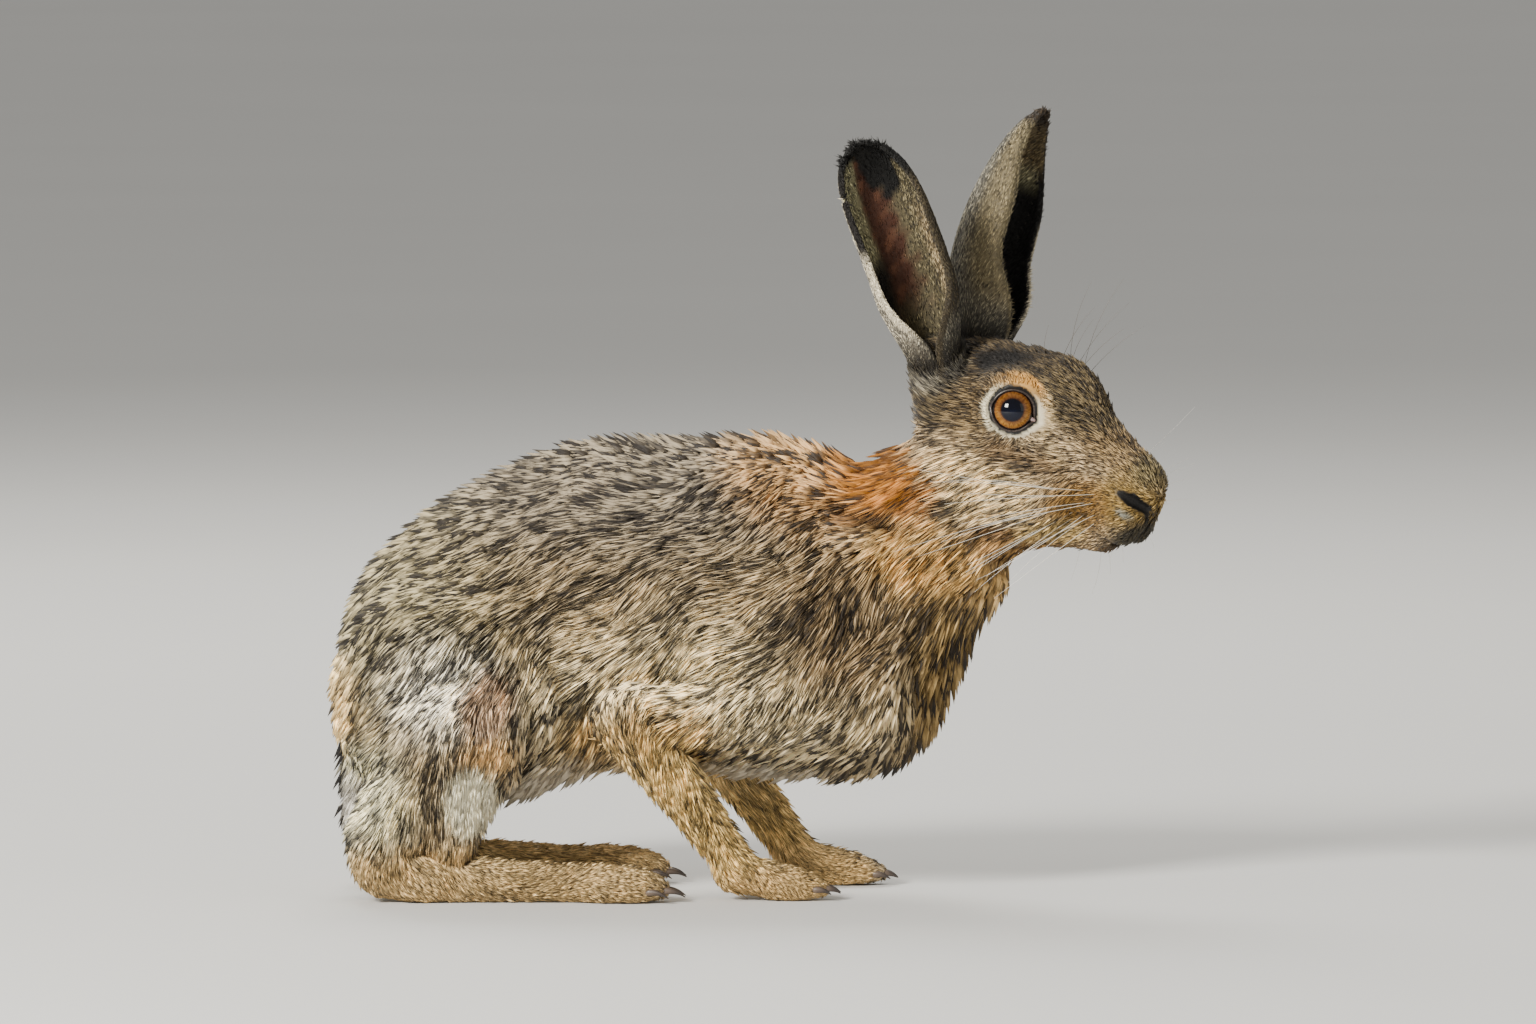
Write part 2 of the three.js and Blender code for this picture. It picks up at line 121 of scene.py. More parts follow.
# %% Masses of the head, and pairs
HEAD = [
    (ball((-20, 0, 5), (36, 24, 28), -8), 1, 3.6, 6.8, (-1.0, 0, -0.10)),
    (ball((7, 0, 2), (27, 23, 26), -28), 8, 3.0, 6.5, (-0.90, 0, 0.40)),
    (limb((14, 0, -11), (46, 0, -30), (27, 17), 0.76), 8, 2.6, 5.5, (-0.95, 0, 0.10)),
    (ball((42, 0, -36), (18.5, 15, 20), -25), 7, 1.8, 4.2, (-0.95, 0, 0.0)),
    (ball((53, 0, -29), (9, 8.5, 9), -20), 4, 1.2, 2.8, (-0.90, 0, 0.40)),
    (limb((-20, 0, -36), (31.5, 0, -53.2), (24, 9.4), 0.8), 13, 3.6, 6.4, (-0.95, 0, -0.25)),
]
HEAD_PAIRS = [
    (ball((-10, 15, -26), (34, 13.5, 26), -20), 18, 4.0, 9, (-0.85, 0, -0.50)),
    (ball((-1, 18, 14), (15, 8, 7), -14), 8, 2.4, 5.5, (-0.95, 0, 0.25)),
    (ball((45.5, 8, -46), (8.5, 9, 12), -10), 6, 1.6, 4.4, (-0.85, 0, -0.40)),
    (limb((-36, 13, 6), (-39, 18, 22), (16, 12.5)), 10, 3.0, 7, (-0.60, 0, 0.80)),
]


def moved(row, move):
    """The same mass with each of its points changed by move(point, name)."""
    mass = dict(row[0])
    for name in ("at", "from", "to"):
        if name in mass:
            mass[name] = move(mass[name], name)
    return (mass,) + row[1:]


def mirrored(row):
    """The same mass on the other side: left and right change places."""
    return moved(row, lambda q, name: (q[0], -q[1], q[2]))


FAR_ARM_STEP = 26
# Which ends of each fore limb mass take the step: the shoulder stays, the foot goes.
FORE_STEP = [(0, 0), (0, 1), (1, 1), (1, 1), (1, 1)]


def stepped(row, share):
    """A fore limb mass moved forwards: each end takes its own share of the step."""
    part = {"from": share[0], "to": share[1], "at": share[1]}
    return moved(row, lambda q, name: (q[0] + FAR_ARM_STEP * part[name], q[1], q[2]))


BODY_ROWS = TRUNK + HIND_LIMB + [mirrored(row) for row in HIND_LIMB]
BODY_ROWS += [stepped(row, share) for row, share in zip(FORE_LIMB, FORE_STEP)]
BODY_ROWS += [mirrored(row) for row in FORE_LIMB]
HEAD_ROWS = HEAD + HEAD_PAIRS + [mirrored(row) for row in HEAD_PAIRS]
print("masses:", len(BODY_ROWS), "in the body,", len(HEAD_ROWS), "in the head")

# %% [markdown]
# ## Distances
# A distance formula says how far any point lies from a shape, negative inside. It works on whole
# arrays at once, so that a million points cost no more lines than one.

# %% Distance formulas
TINY = 1e-6


def ball_distance(x, y, z, mass):
    """Ellipsoid: k0 (k0 - 1) / k1, with k0 the offset scaled by the half sizes, k1 scaled twice."""
    cos, sin, half = math.cos(mass["tilt"]), math.sin(mass["tilt"]), mass["half"]
    dx, dz = x - mass["at"][0], z - mass["at"][2]
    a = (dx * cos + dz * sin) / half[0]
    b = (y - mass["at"][1]) / half[1]
    c = (dz * cos - dx * sin) / half[2]
    k0 = np.sqrt(a * a + b * b + c * c)
    k1 = np.sqrt((a / half[0]) ** 2 + (b / half[1]) ** 2 + (c / half[2]) ** 2)
    return k0 * (k0 - 1) / np.maximum(k1, TINY)


def limb_distance(x, y, z, mass):
    """Tapered rod: distance to the nearest point of its axis, less the radius there."""
    p, q, (first, last) = mass["from"], mass["to"], mass["radii"]
    d = [q[i] - p[i] for i in range(3)]
    t = ((x - p[0]) * d[0] + (y - p[1]) * d[1] + (z - p[2]) * d[2]) / sum(v * v for v in d)
    t = np.clip(t, 0, 1)
    dx, dz = x - p[0] - d[0] * t, z - p[2] - d[2] * t
    dy = (y - p[1] - d[1] * t) / mass["flat"]
    away = np.sqrt(dx * dx + dy * dy + dz * dz)
    return (away - (first + (last - first) * t)) * mass["flat"]


def mass_distance(x, y, z, mass):
    """Distance to a ball or to a limb, whichever the mass is."""
    return (ball_distance if mass["kind"] == "ball" else limb_distance)(x, y, z, mass)


print("from a point over the loin down to it, mm:",
      round(float(mass_distance(0.0, 0.0, 250.0, TRUNK[1][0])), 1))

# %% [markdown]
# ## Soft joins
# Where two masses meet, flesh fills the corner. A smooth minimum of their distances does that: it
# dips below both where they are nearly equal. A smooth maximum cuts a groove with a soft edge.

# %% Soft minimum, soft maximum and easing


def soft_min(a, b, width):
    """The smaller of two fields, with a fillet of the given width between them."""
    h = np.maximum(width - np.abs(a - b), 0) / width
    return np.minimum(a, b) - h * h * width * 0.25


def soft_max(a, b, width):
    """The larger of two fields, rounded in the same way: -soft_min(-a, -b)."""
    return -soft_min(-a, -b, width)


def smooth(low, high, t):
    """0 below low, 1 above high, an S curve between them."""
    s = np.clip((t - low) / (high - low), 0, 1)
    return s * s * (3 - 2 * s)


def unit(vectors):
    """Vectors divided by their own lengths."""
    return vectors / np.maximum(np.linalg.norm(vectors, axis=-1, keepdims=True), 1e-9)


print("two masses 1 mm away, joined over 4 mm, lie at", soft_min(1.0, 1.0, 4.0), "mm")

# %% [markdown]
# ## The head's frame
# The head looks a little towards the viewer. Each point is turned back into the head's frame before
# it is measured, and directions found there are turned out again.

# %% In and out of the head's frame
HEAD_YAW = math.radians(25)
HEAD_AT = np.array([175.4, -14.0, 214.7])
YAW_COS, YAW_SIN = math.cos(HEAD_YAW), math.sin(HEAD_YAW)


def to_head(x, y, z):
    """World to the head's frame: forwards, left and up from the point midway between the eyes."""
    dx, dy = x - HEAD_AT[0], y - HEAD_AT[1]
    return dx * YAW_COS - dy * YAW_SIN, dx * YAW_SIN + dy * YAW_COS, z - HEAD_AT[2]


def turn_out(vectors):
    """Directions in the head's frame, turned into the world's."""
    u, v, w = np.moveaxis(np.asarray(vectors, float), -1, 0)
    return np.stack([u * YAW_COS + v * YAW_SIN, -u * YAW_SIN + v * YAW_COS, w], -1)


def from_head(points):
    """Points in the head's frame, turned and moved into the world's."""
    return turn_out(points) + HEAD_AT


print("a point on the brow, in the world:", from_head([20, 0, 20]).round(1))

# %% [markdown]
# ## Ears
# A hare's ear is a thin sheet: rolled like a tube at the root, open like a leaf above. Across the
# ear it is an arc of a circle with a wall, so its distance is the distance to that arc. The middle
# line, the radius and the opening change from root to tip.

# %% Ear shape
EAR_ROOT_RADIUS = 11
EAR_WALL = (4.2, 3.4)
EAR_COAT = 0.6
EAR_THINNEST = 2.4
EAR_HALF_TURN = (172, 108, 83)
EARS = {
    "right": {"root": (-38, -15, 12), "tip": (-57, -62, 120), "open": (0.42, -0.9, 0),
              "bow": (3, 0, 0), "point": 4.5, "radius": 19, "lead": 1},
    "left": {"root": (-38, 15, 12), "tip": (-16, 46, 131), "open": (0.998, 0.05, 0),
             "bow": (-3, 0, 0), "point": 1.7, "radius": 21.5, "lead": -1},
}


def ear_axes(ear):
    """Length of an ear, and unit vectors along it, towards its opening, and across."""
    along = np.subtract(ear["tip"], ear["root"]).astype(float)
    length = np.linalg.norm(along)
    axis = along / length
    front = np.array(ear["open"], float)
    front -= axis * (front @ axis)
    front /= np.linalg.norm(front)
    return length, axis, front, np.cross(axis, front)


def ear_profile(t, ear):
    """Outer radius, wall and half opening angle at the share t of the way to the tip."""
    taper = np.sqrt(1 - (0.985 * np.clip((t - 0.5) / 0.5, 0, 1)) ** ear["point"])
    radius = (EAR_ROOT_RADIUS + (ear["radius"] - EAR_ROOT_RADIUS) * smooth(0.02, 0.42, t)) * taper
    wall = np.minimum(EAR_WALL[0] + (EAR_WALL[1] - EAR_WALL[0]) * t, 0.6 * radius)
    turn = EAR_HALF_TURN[0] - (EAR_HALF_TURN[0] - EAR_HALF_TURN[1]) * smooth(0.12, 0.5, t)
    turn = turn - (EAR_HALF_TURN[1] - EAR_HALF_TURN[2]) * smooth(0.6, 1.0, t)
    return radius, wall, np.radians(turn)


def ear_place(u, v, w, ear):
    """A point seen from an ear: share along it, length past its ends, across and behind."""
    length, axis, front, side = ear_axes(ear)
    q = [u - ear["root"][0], v - ear["root"][1], w - ear["root"][2]]
    along = (q[0] * axis[0] + q[1] * axis[1] + q[2] * axis[2]) / length
    t = np.clip(along, 0, 1)
    bow = np.sin(np.pi * t)
    q = [q[i] - ear["bow"][i] * bow for i in range(3)]
    across = q[0] * side[0] + q[1] * side[1] + q[2] * side[2]
    behind = -(q[0] * front[0] + q[1] * front[1] + q[2] * front[2])
    return t, (along - t) * length, across, behind


def ear_distance(u, v, w, ear, inset):
    """Distance to the arc of the ear's section, less half the wall, plus the coat's depth."""
    t, past, across, behind = ear_place(u, v, w, ear)
    radius, wall, turn = ear_profile(t, ear)
    middle = radius - wall / 2
    angle = np.arctan2(np.abs(across), behind)
    on_arc = np.abs(np.hypot(across, behind) - middle)
    to_edge = np.hypot(np.abs(across) - middle * np.sin(turn), behind - middle * np.cos(turn))
    half = np.maximum(wall / 2 - inset, EAR_THINNEST / 2)
    return np.hypot(np.where(angle < turn, on_arc, to_edge), past) - half


def ear_hollow(across, behind, radius, wall):
    """1 in the ear's hollow and 0 on its back, by the distance from the middle of the wall."""
    return smooth(0.4, -0.4, np.hypot(across, behind) - radius + wall / 2)


print("ear lengths in mm:", {name: round(ear_axes(ear)[0], 1) for name, ear in EARS.items()})

# %% [markdown]
# ## Lids, nostrils and mouth
# The eyeball is a full ball of 22 mm set deep in the head. The skin swells over it as lids, and an
# opening with drawn-out corners is cut through them. Nostrils, the mouth and the cleft of a hare's
# lip are grooves: each is a rod taken away from the skin with a soft edge.

# %% Face openings
EYE_AT = np.array([-2.3, 18.0, 2.2])
EYE_RADIUS = 11.0
EYE_FORWARD, EYE_UP = math.radians(20), math.radians(4)
LID, LID_BLEND, LID_EDGE = 1.5, 5.0, 0.8
SOCKET_DEPTH = 2.5
FRONT_CORNER, BACK_CORNER = -0.42, 3.0
# Rods and soft edges: nostril wing, nostril, front and side of the mouth, furrow below the eye.
PAIRED_GROOVES = [
    (limb((46.6, 14.6, -33.2), (52.4, 12.2, -36.6), (1.0, 2.6)), 1.0),
    (limb((52.4, 12.2, -36.6), (57.0, 5.2, -41.4), (2.6, 1.7)), 1.0),
    (limb((44.0, 0.0, -60.0), (43.0, 9.0, -57.5), (3.2, 2.8)), 1.2),
    (limb((43.0, 9.0, -57.5), (30.0, 12.5, -53.5), (2.2, 0.8)), 1.6),
    (limb((26, 18.5, -8), (14, 24, -22), (1.2, 1.2)), 4.0),
]
DARK_GROOVES = 4
CLEFT = (limb((59.5, 0, -48), (56, 0, -61), (7.5, 7.5), 0.28), 1.4)
# Each foot: how far forwards and left its toes are, and the space between them.
TOES = ((10, -47.5, 6.2), (10, 47.5, 6.2), (80, -37, 4.8), (106, 37, 4.8))
TOE_GROOVES = [
    (limb((x - 18, y + dy, 19), (x + 4, y + 1.12 * dy, 8), (1.5, 2.4)), 2.0)
    for x, y, space in TOES for dy in (-space, 0, space)
]
# Folds seen from the side: two ends, width and depth; a negative depth swells instead.
CREASES = [
    ((-72, 113), (-48, 88), 4.0, 2.6), ((-48, 88), (-55, 64), 3.6, 2.6),
    ((-60, 98), (-66, 78), 5.0, 1.6), ((-110, 60), (-88, 46), 5.0, 1.6),
    ((88, 170), (122, 164), 5.0, 2.2), ((-20, 92), (8, 104), 7.0, 1.5),
    ((104, 151), (150, 141), 10.0, -4.0),
]
print("grooves on each side of the face:", len(PAIRED_GROOVES), "on the toes:", len(TOE_GROOVES))

# %% [markdown]
# ## Measuring round an eye
# Lids, pale ring and the lie of the hair all go round the eye, so each point near it is given by
# its distance from the eye's middle, its angle off the eye's axis and its angle round that axis.

# %% An eye's frame


def eye_middle(side):
    """Middle of the left (1) or right (-1) eyeball, in the head's frame."""
    return EYE_AT * [1, side, 1]


def eye_axes(side):
    """Outward axis of an eye, its forward and its up direction, in the head's frame."""
    flat = math.cos(EYE_UP)
    out = np.array([math.sin(EYE_FORWARD) * flat, side * math.cos(EYE_FORWARD) * flat,
                    math.sin(EYE_UP)])
    ahead = unit(np.array([1.0, 0, 0]) - out * out[0])
    up = np.cross(out, ahead)
    return out, ahead, up * np.sign(up[2])


def round_eye(side, psi):
    """Directions square to an eye's axis: cos(psi) ahead + sin(psi) up."""
    _, ahead, up = eye_axes(side)
    return np.cos(psi)[..., None] * ahead + np.sin(psi)[..., None] * up


def eye_place(u, v, w, side):
    """A point seen from an eye's middle: distance, angle off the outward axis, angle round it."""
    q = [u - EYE_AT[0], v - side * EYE_AT[1], w - EYE_AT[2]]
    r = np.sqrt(q[0] ** 2 + q[1] ** 2 + q[2] ** 2) + TINY
    a, b, c = (q[0] * k[0] + q[1] * k[1] + q[2] * k[2] for k in eye_axes(side))
    return r, np.arccos(np.clip(a / r, -1, 1)), np.arctan2(c, b)


def bump(psi, middle, width):
    """A hump round one direction: exp(-(angle between psi and the middle / width)^2)."""
    return np.exp(-((np.angle(np.exp(1j * (psi - middle))) / width) ** 2))


def lid_angle(psi):
    """Half opening of the lids round the eye: 56 degrees, less above and below, more at the
    corners. psi is 0 towards the nose and a quarter turn at the top."""
    corners = 9.0 * bump(psi, FRONT_CORNER, 0.2) + 4.0 * bump(psi, BACK_CORNER, 0.25)
    above, below = np.maximum(np.sin(psi), 0), np.minimum(np.sin(psi), 0)
    return np.radians(56.0 - 4.5 * above ** 2 - 1.5 * below ** 2 + corners)


print("lid opening in degrees, front, top, back:",
      np.degrees(lid_angle(np.array([0, 1.57, 3.14]))).round(1))

# %% [markdown]
# ## Pressing the details in
# Lids are added to the skin before the opening is cut through them; grooves and folds come last.

# %% Folds, lids and grooves


def creased(value, x, z):
    """Presses folds into a body field, seen from the side: depth x exp(-(distance / width)^2)."""
    for start, end, width, depth in CREASES:
        run = (end[0] - start[0], end[1] - start[1])
        t = (x - start[0]) * run[0] + (z - start[1]) * run[1]
        t = np.clip(t / (run[0] ** 2 + run[1] ** 2), 0, 1)
        away = (x - start[0] - t * run[0]) ** 2 + (z - start[1] - t * run[1]) ** 2
        value = value + depth * np.exp(-away / width ** 2)
    return value


def face_details(value, u, v, w):
    """Adds the lids and cuts eye openings, nostrils, mouth and cleft into a skin field."""
    for side in (1, -1):
        r, theta, psi = eye_place(u, v, w, side)
        value = soft_min(value, r - (EYE_RADIUS + LID), LID_BLEND)
        opening = np.maximum((theta - lid_angle(psi)) * r, EYE_RADIUS - SOCKET_DEPTH - r)
        value = soft_max(value, -opening, LID_EDGE)
        for mass, width in PAIRED_GROOVES:
            value = soft_max(value, -limb_distance(u, side * v, w, mass), width)
    return soft_max(value, -limb_distance(u, v, w, CLEFT[0]), CLEFT[1])


print("folds:", len(CREASES), "the deepest in mm:", max(row[3] for row in CREASES))

# %% [markdown]
# ## One field for the whole skin
# Every mass is taken thinner by its own coat depth, then all are joined, first the body, then the
# head and the ears. Details are pressed in last, and the soles are cut off level.

# %% The skin's field
HEAD_BLEND, EAR_BLEND = 11, 5.0
FLOOR_SKIN, FLOOR_EDGE = 0.8, 1.5
FACE_REACH = 75


def chain(rows, x, y, z):
    """All masses of a list, each thinner by its coat, joined one after the other."""
    value = None
    for mass, blend, coat, _, _ in rows:
        distance = mass_distance(x, y, z, mass) + coat
        value = distance if value is None else soft_min(value, distance, blend)
    return value


def skin(p):
    """The finished skin's distance at points p (n, 3)."""
    x, y, z = p.T
    u, v, w = to_head(x, y, z)
    body = creased(chain(BODY_ROWS, x, y, z), x, z)
    value = soft_min(body, chain(HEAD_ROWS, u, v, w), HEAD_BLEND)
    for ear in EARS.values():
        value = soft_min(value, ear_distance(u, v, w, ear, EAR_COAT), EAR_BLEND)
    near = (np.abs(u) < FACE_REACH) & (np.abs(w) < FACE_REACH)
    value[near] = face_details(value[near], u[near], v[near], w[near])
    for mass, width in TOE_GROOVES:
        value = soft_max(value, -limb_distance(x, y, z, mass), width)
    return soft_max(value, FLOOR_SKIN - z, FLOOR_EDGE)


print("skin field in the middle of the trunk, mm:", skin(np.array([[0.0, 0.0, 120.0]])).round(1))

# %% [markdown]
# ## The same field on a grid
# Four million grid points times forty masses would be slow. Each mass is only worked out inside a
# box round it, where it can still be felt.

# %% The field on a grid
HEAD_BOX = ((92, -90, 128), (252, 70, 280))
FACE_BOX = ((120, -80, 140), (245, 60, 245))
FAR_OUT = 30
EAR_MARGIN, TOE_MARGIN = 30, 8


def box_of(mass, pad):
    """Corners of a box round a mass."""
    if mass["kind"] == "ball":
        reach = max(mass["half"][0], mass["half"][2])
        size = np.array([reach, mass["half"][1], reach]) + pad
        return np.array(mass["at"]) - size, np.array(mass["at"]) + size
    ends = np.array([mass["from"], mass["to"]], float)
    return ends.min(0) - max(mass["radii"]) - pad, ends.max(0) + max(mass["radii"]) + pad


def window(axes, low, high):
    """Index slices of the grid planes between two corners."""
    return tuple(slice(*np.searchsorted(axis, (a, b))) for axis, a, b in zip(axes, low, high))


def open_axes(axes, cut):
    """The coordinates inside a window, shaped so that they combine into a grid."""
    shapes = ((-1, 1, 1), (1, -1, 1), (1, 1, -1))
    return [axis[part].reshape(shape) for axis, part, shape in zip(axes, cut, shapes)]


def sample_skin(axes):
    """The skin's field on a grid, mass by mass inside its own box."""
    body = np.full([len(axis) for axis in axes], FAR_OUT, np.float32)
    head = body.copy()
    for mass, blend, coat, _, _ in BODY_ROWS:
        cut = window(axes, *box_of(mass, 1.6 * blend + 14))
        body[cut] = soft_min(body[cut], mass_distance(*open_axes(axes, cut), mass) + coat, blend)
    cut = window(axes, *HEAD_BOX)
    here = to_head(*open_axes(axes, cut))
    for mass, blend, coat, _, _ in HEAD_ROWS:
        head[cut] = soft_min(head[cut], mass_distance(*here, mass) + coat, blend)
    height = axes[2].reshape(1, 1, -1)
    value = soft_min(creased(body, axes[0].reshape(-1, 1, 1), height), head, HEAD_BLEND)
    for ear in EARS.values():
        ends = from_head([ear["root"], ear["tip"]])
        cut = window(axes, ends.min(0) - EAR_MARGIN, ends.max(0) + EAR_MARGIN)
        here = to_head(*open_axes(axes, cut))
        value[cut] = soft_min(value[cut], ear_distance(*here, ear, EAR_COAT), EAR_BLEND)
    cut = window(axes, *FACE_BOX)
    value[cut] = face_details(value[cut], *to_head(*open_axes(axes, cut)))
    for mass, width in TOE_GROOVES:
        cut = window(axes, *box_of(mass, TOE_MARGIN))
        value[cut] = soft_max(value[cut], -limb_distance(*open_axes(axes, cut), mass), width)
    return soft_max(value, FLOOR_SKIN - height, FLOOR_EDGE)


print("box round the tail, mm:", [corner.round() for corner in box_of(TRUNK[5][0], 0)])

# %% [markdown]
# ## From field to mesh
# The surface is where the field is zero. One vertex goes into every grid cell that the surface
# crosses, at the mean of its crossings, and one quad across every grid edge that it crosses.

# %% Surface of a grid


def planes(*parts):
    """Grid planes from (start, end, step) parts that follow each other."""
    rows = [np.linspace(a, b, max(round((b - a) / s), 1), endpoint=False) for a, b, s in parts]
    return np.concatenate(rows + [[parts[-1][1]]])


def grid_surface(field, axes):
    """Vertices and quads of the zero level of a field sampled on a grid. A crossing lies where the
    straight line between two samples is zero; a vertex is the mean of its cell's crossings."""
    inside = field < 0
    n = field.shape
    # A cell is active if some of its eight corners are inside and some are not.
    total = np.zeros([k - 1 for k in n], np.int8)
    for i, j, k in np.ndindex(2, 2, 2):
        total += inside[i:n[0] - 1 + i, j:n[1] - 1 + j, k:n[2] - 1 + k]
    active = (total > 0) & (total < 8)
    number = np.full(total.shape, -1, np.int64)
    number[active] = np.arange(active.sum())
    sums, hits, quads = np.zeros((active.sum(), 3)), np.zeros(active.sum()), []
    # Every grid edge with a crossing adds it to the four cells round it and joins them by a quad.
    for axis in range(3):
        near = tuple(slice(0, -1) if a == axis else slice(None) for a in range(3))
        far = tuple(slice(1, None) if a == axis else slice(None) for a in range(3))
        i = np.argwhere(inside[near] != inside[far])
        b, c = (axis + 1) % 3, (axis + 2) % 3
        i = i[(i[:, b] > 0) & (i[:, c] > 0) & (i[:, b] < n[b] - 1) & (i[:, c] < n[c] - 1)]
        fa, fb = field[near][tuple(i.T)], field[far][tuple(i.T)]
        spot = np.stack([axes[a][i[:, a]] for a in range(3)], 1).astype(float)
        spot[:, axis] += (axes[axis][i[:, axis] + 1] - spot[:, axis]) * (fa / (fa - fb))
        sb, sc = np.eye(3, dtype=int)[b], np.eye(3, dtype=int)[c]
        cells = np.stack([number[tuple((i - back).T)] for back in (0 * sb, sb, sb + sc, sc)], 1)
        # Crossings are summed for each cell; a quad is turned round where the edge leads inwards.
        for corner in range(4):
            hits += np.bincount(cells[:, corner], minlength=len(sums))
            for a in range(3):
                sums[:, a] += np.bincount(cells[:, corner], spot[:, a], len(sums))
        cells[fa >= 0] = cells[fa >= 0][:, ::-1]
        quads.append(cells)
    return sums / hits[:, None], np.concatenate(quads)


print("planes from 0 to 6 in steps of 2:", planes((0, 6, 2)))

# %% [markdown]
# ## Sliding onto the surface
# The grid only gives each vertex roughly. The slope of the field says which way the surface lies,
# and the field's own value how far, so two steps place it exactly.

# %% The skin's surface


def slope(function, points, step=0.2):
    """Central differences of a field at points."""
    moves = np.eye(3) * step
    return np.stack([function(points + m) - function(points - m) for m in moves], 1) / (2 * step)


LONGEST_STEP, LEAST_SLOPE = 1.2, 0.05


def onto_surface(function, points, passes):
    """Newton steps towards the field's zero: slope x value / slope squared, kept short."""
    for _ in range(passes):
        g = slope(function, points)
        move = g * (function(points) / np.maximum((g * g).sum(1), LEAST_SLOPE))[:, None]
        far = np.linalg.norm(move, axis=1, keepdims=True)
        points = points - move * np.minimum(1, LONGEST_STEP / np.maximum(far, 1e-9))
    return points


# Grid planes, closer on the head and the ears than on the trunk.
AXES = (
    planes((-150, 92, 2.8), (92, 112, 2.0), (112, 208, 1.4), (208, 240, 1.1), (240, 250, 2)),
    planes((-80, -74, 2.0), (-74, 44, 1.35), (44, 80, 2.2)),
    planes((-3, 24, 1.9), (24, 140, 2.8), (140, 156, 1.6), (156, 186, 1.1), (186, 246, 1.45),
           (246, 356, 1.7)),
)
skin_points, skin_quads = grid_surface(sample_skin(AXES), AXES)
skin_points = onto_surface(skin, skin_points, 2)
print("skin:", len(skin_points), "points,", 2 * len(skin_quads), "triangles")

# %% [markdown]
# ## Putting arrays into meshes
# Blender takes whole arrays with foreach_set, which is far quicker than adding vertices one by one.
# Every piece is made in its final place, in metres, with its object left at the origin.

# %% From arrays to pieces
FRAME_SHIFT = np.array([-48.38, 0.0, 0.0])


def in_frame(points):
    """Design millimetres to metres in the frame of the solids."""
    return (np.asarray(points, float) + FRAME_SHIFT) / 1000


def keep(mesh, name, values):
    """Stores a value for each vertex: a number, a direction for spoke, or else a colour."""
    values = np.asarray(values, np.float32)
    kind, field = ("FLOAT", "value") if values.ndim == 1 else ("FLOAT_COLOR", "color")
    if name == "spoke":
        kind, field = "FLOAT_VECTOR", "vector"
    elif field == "color":
        values = np.column_stack([values, np.ones(len(values), np.float32)])
    mesh.attributes.new(name, kind, "POINT").data.foreach_set(field, values.ravel())


def add_object(name, data):
    """An object for a mesh, lamp or camera, in the scene."""
    made = bpy.data.objects.new(name, data)
    bpy.context.collection.objects.link(made)
    return made


def add_piece(name, points, faces, material, slot, **values):
    """A mesh object from points in design millimetres and faces that all have the same size."""
    faces = np.asarray(faces, np.int32)
    count, size = faces.shape
    mesh = bpy.data.meshes.new(name)
    mesh.vertices.add(len(points))
    mesh.vertices.foreach_set("co", in_frame(points).astype(np.float32).ravel())
    mesh.loops.add(count * size)
    mesh.loops.foreach_set("vertex_index", faces.ravel())
    mesh.polygons.add(count)
    mesh.polygons.foreach_set("loop_start", np.arange(0, count * size, size, dtype=np.int32))
    mesh.polygons.foreach_set("use_smooth", np.ones(count, bool))
    mesh.update(calc_edges=True)
    for key, numbers in values.items():
        keep(mesh, key, numbers)
    mesh.materials.append(material)
    piece = add_object(name, mesh)
    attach(piece, "root")
    return piece


eye_low, eye_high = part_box("eye_right")
drift = in_frame(from_head(eye_middle(-1))) - np.array((eye_low + eye_high) / 2)
print("right eye of this lesson less that of the solids, mm:", (drift * 1000).round(2))

# %% [markdown]
# ## Markings
# A hare's colours lie in patches: grizzled back, silvery rump, fox-red nape, tan ruff, cream
# shanks, pale ring round the eye, black ear tips. They could be painted by hand on an unwrapped
# skin. Here each patch is a soft-edged ball or limb with a colour, laid on in order, so that skin
# and hair ask the same function and always agree. Pepper says how strongly dark and light hairs
# are mixed there.

# %% Laying one colour over another


def linear(rgb):
    """Screen values 0 to 255 to linear light: ((c + 0.055) / 1.055)^2.4, straight near black."""
    c = np.asarray(rgb, float) / 255
    return np.where(c <= 0.04045, c / 12.92, ((c + 0.055) / 1.055) ** 2.4)


def lay_on(coat, mask, rgb, pepper):
    """Mixes one patch over what is there already: old + mask x (new - old)."""
    colour, mix = coat
    colour += mask[:, None] * (linear(rgb) - colour)
    mix += mask * (pepper - mix)


def wobble(p, size, seed):
    """Smooth noise from -1 to 1: six sine waves in random directions, about size mm long."""
    waves = np.random.default_rng(seed)
    turns = unit(waves.normal(size=(6, 3))) * 2 * math.pi / size
    return np.clip(np.sin(p @ turns.T + waves.uniform(0, 6.3, 6)).sum(1) / 2.8, -1, 1)


print("middle grey in linear light:", linear(128).round(3))

# %% [markdown]
# ## Colours of the body
# Each line holds a name, a shape, half the width of its soft edge in mm, a colour and its pepper.
# A patch lies on both sides of the body, unless its name begins with near or far.

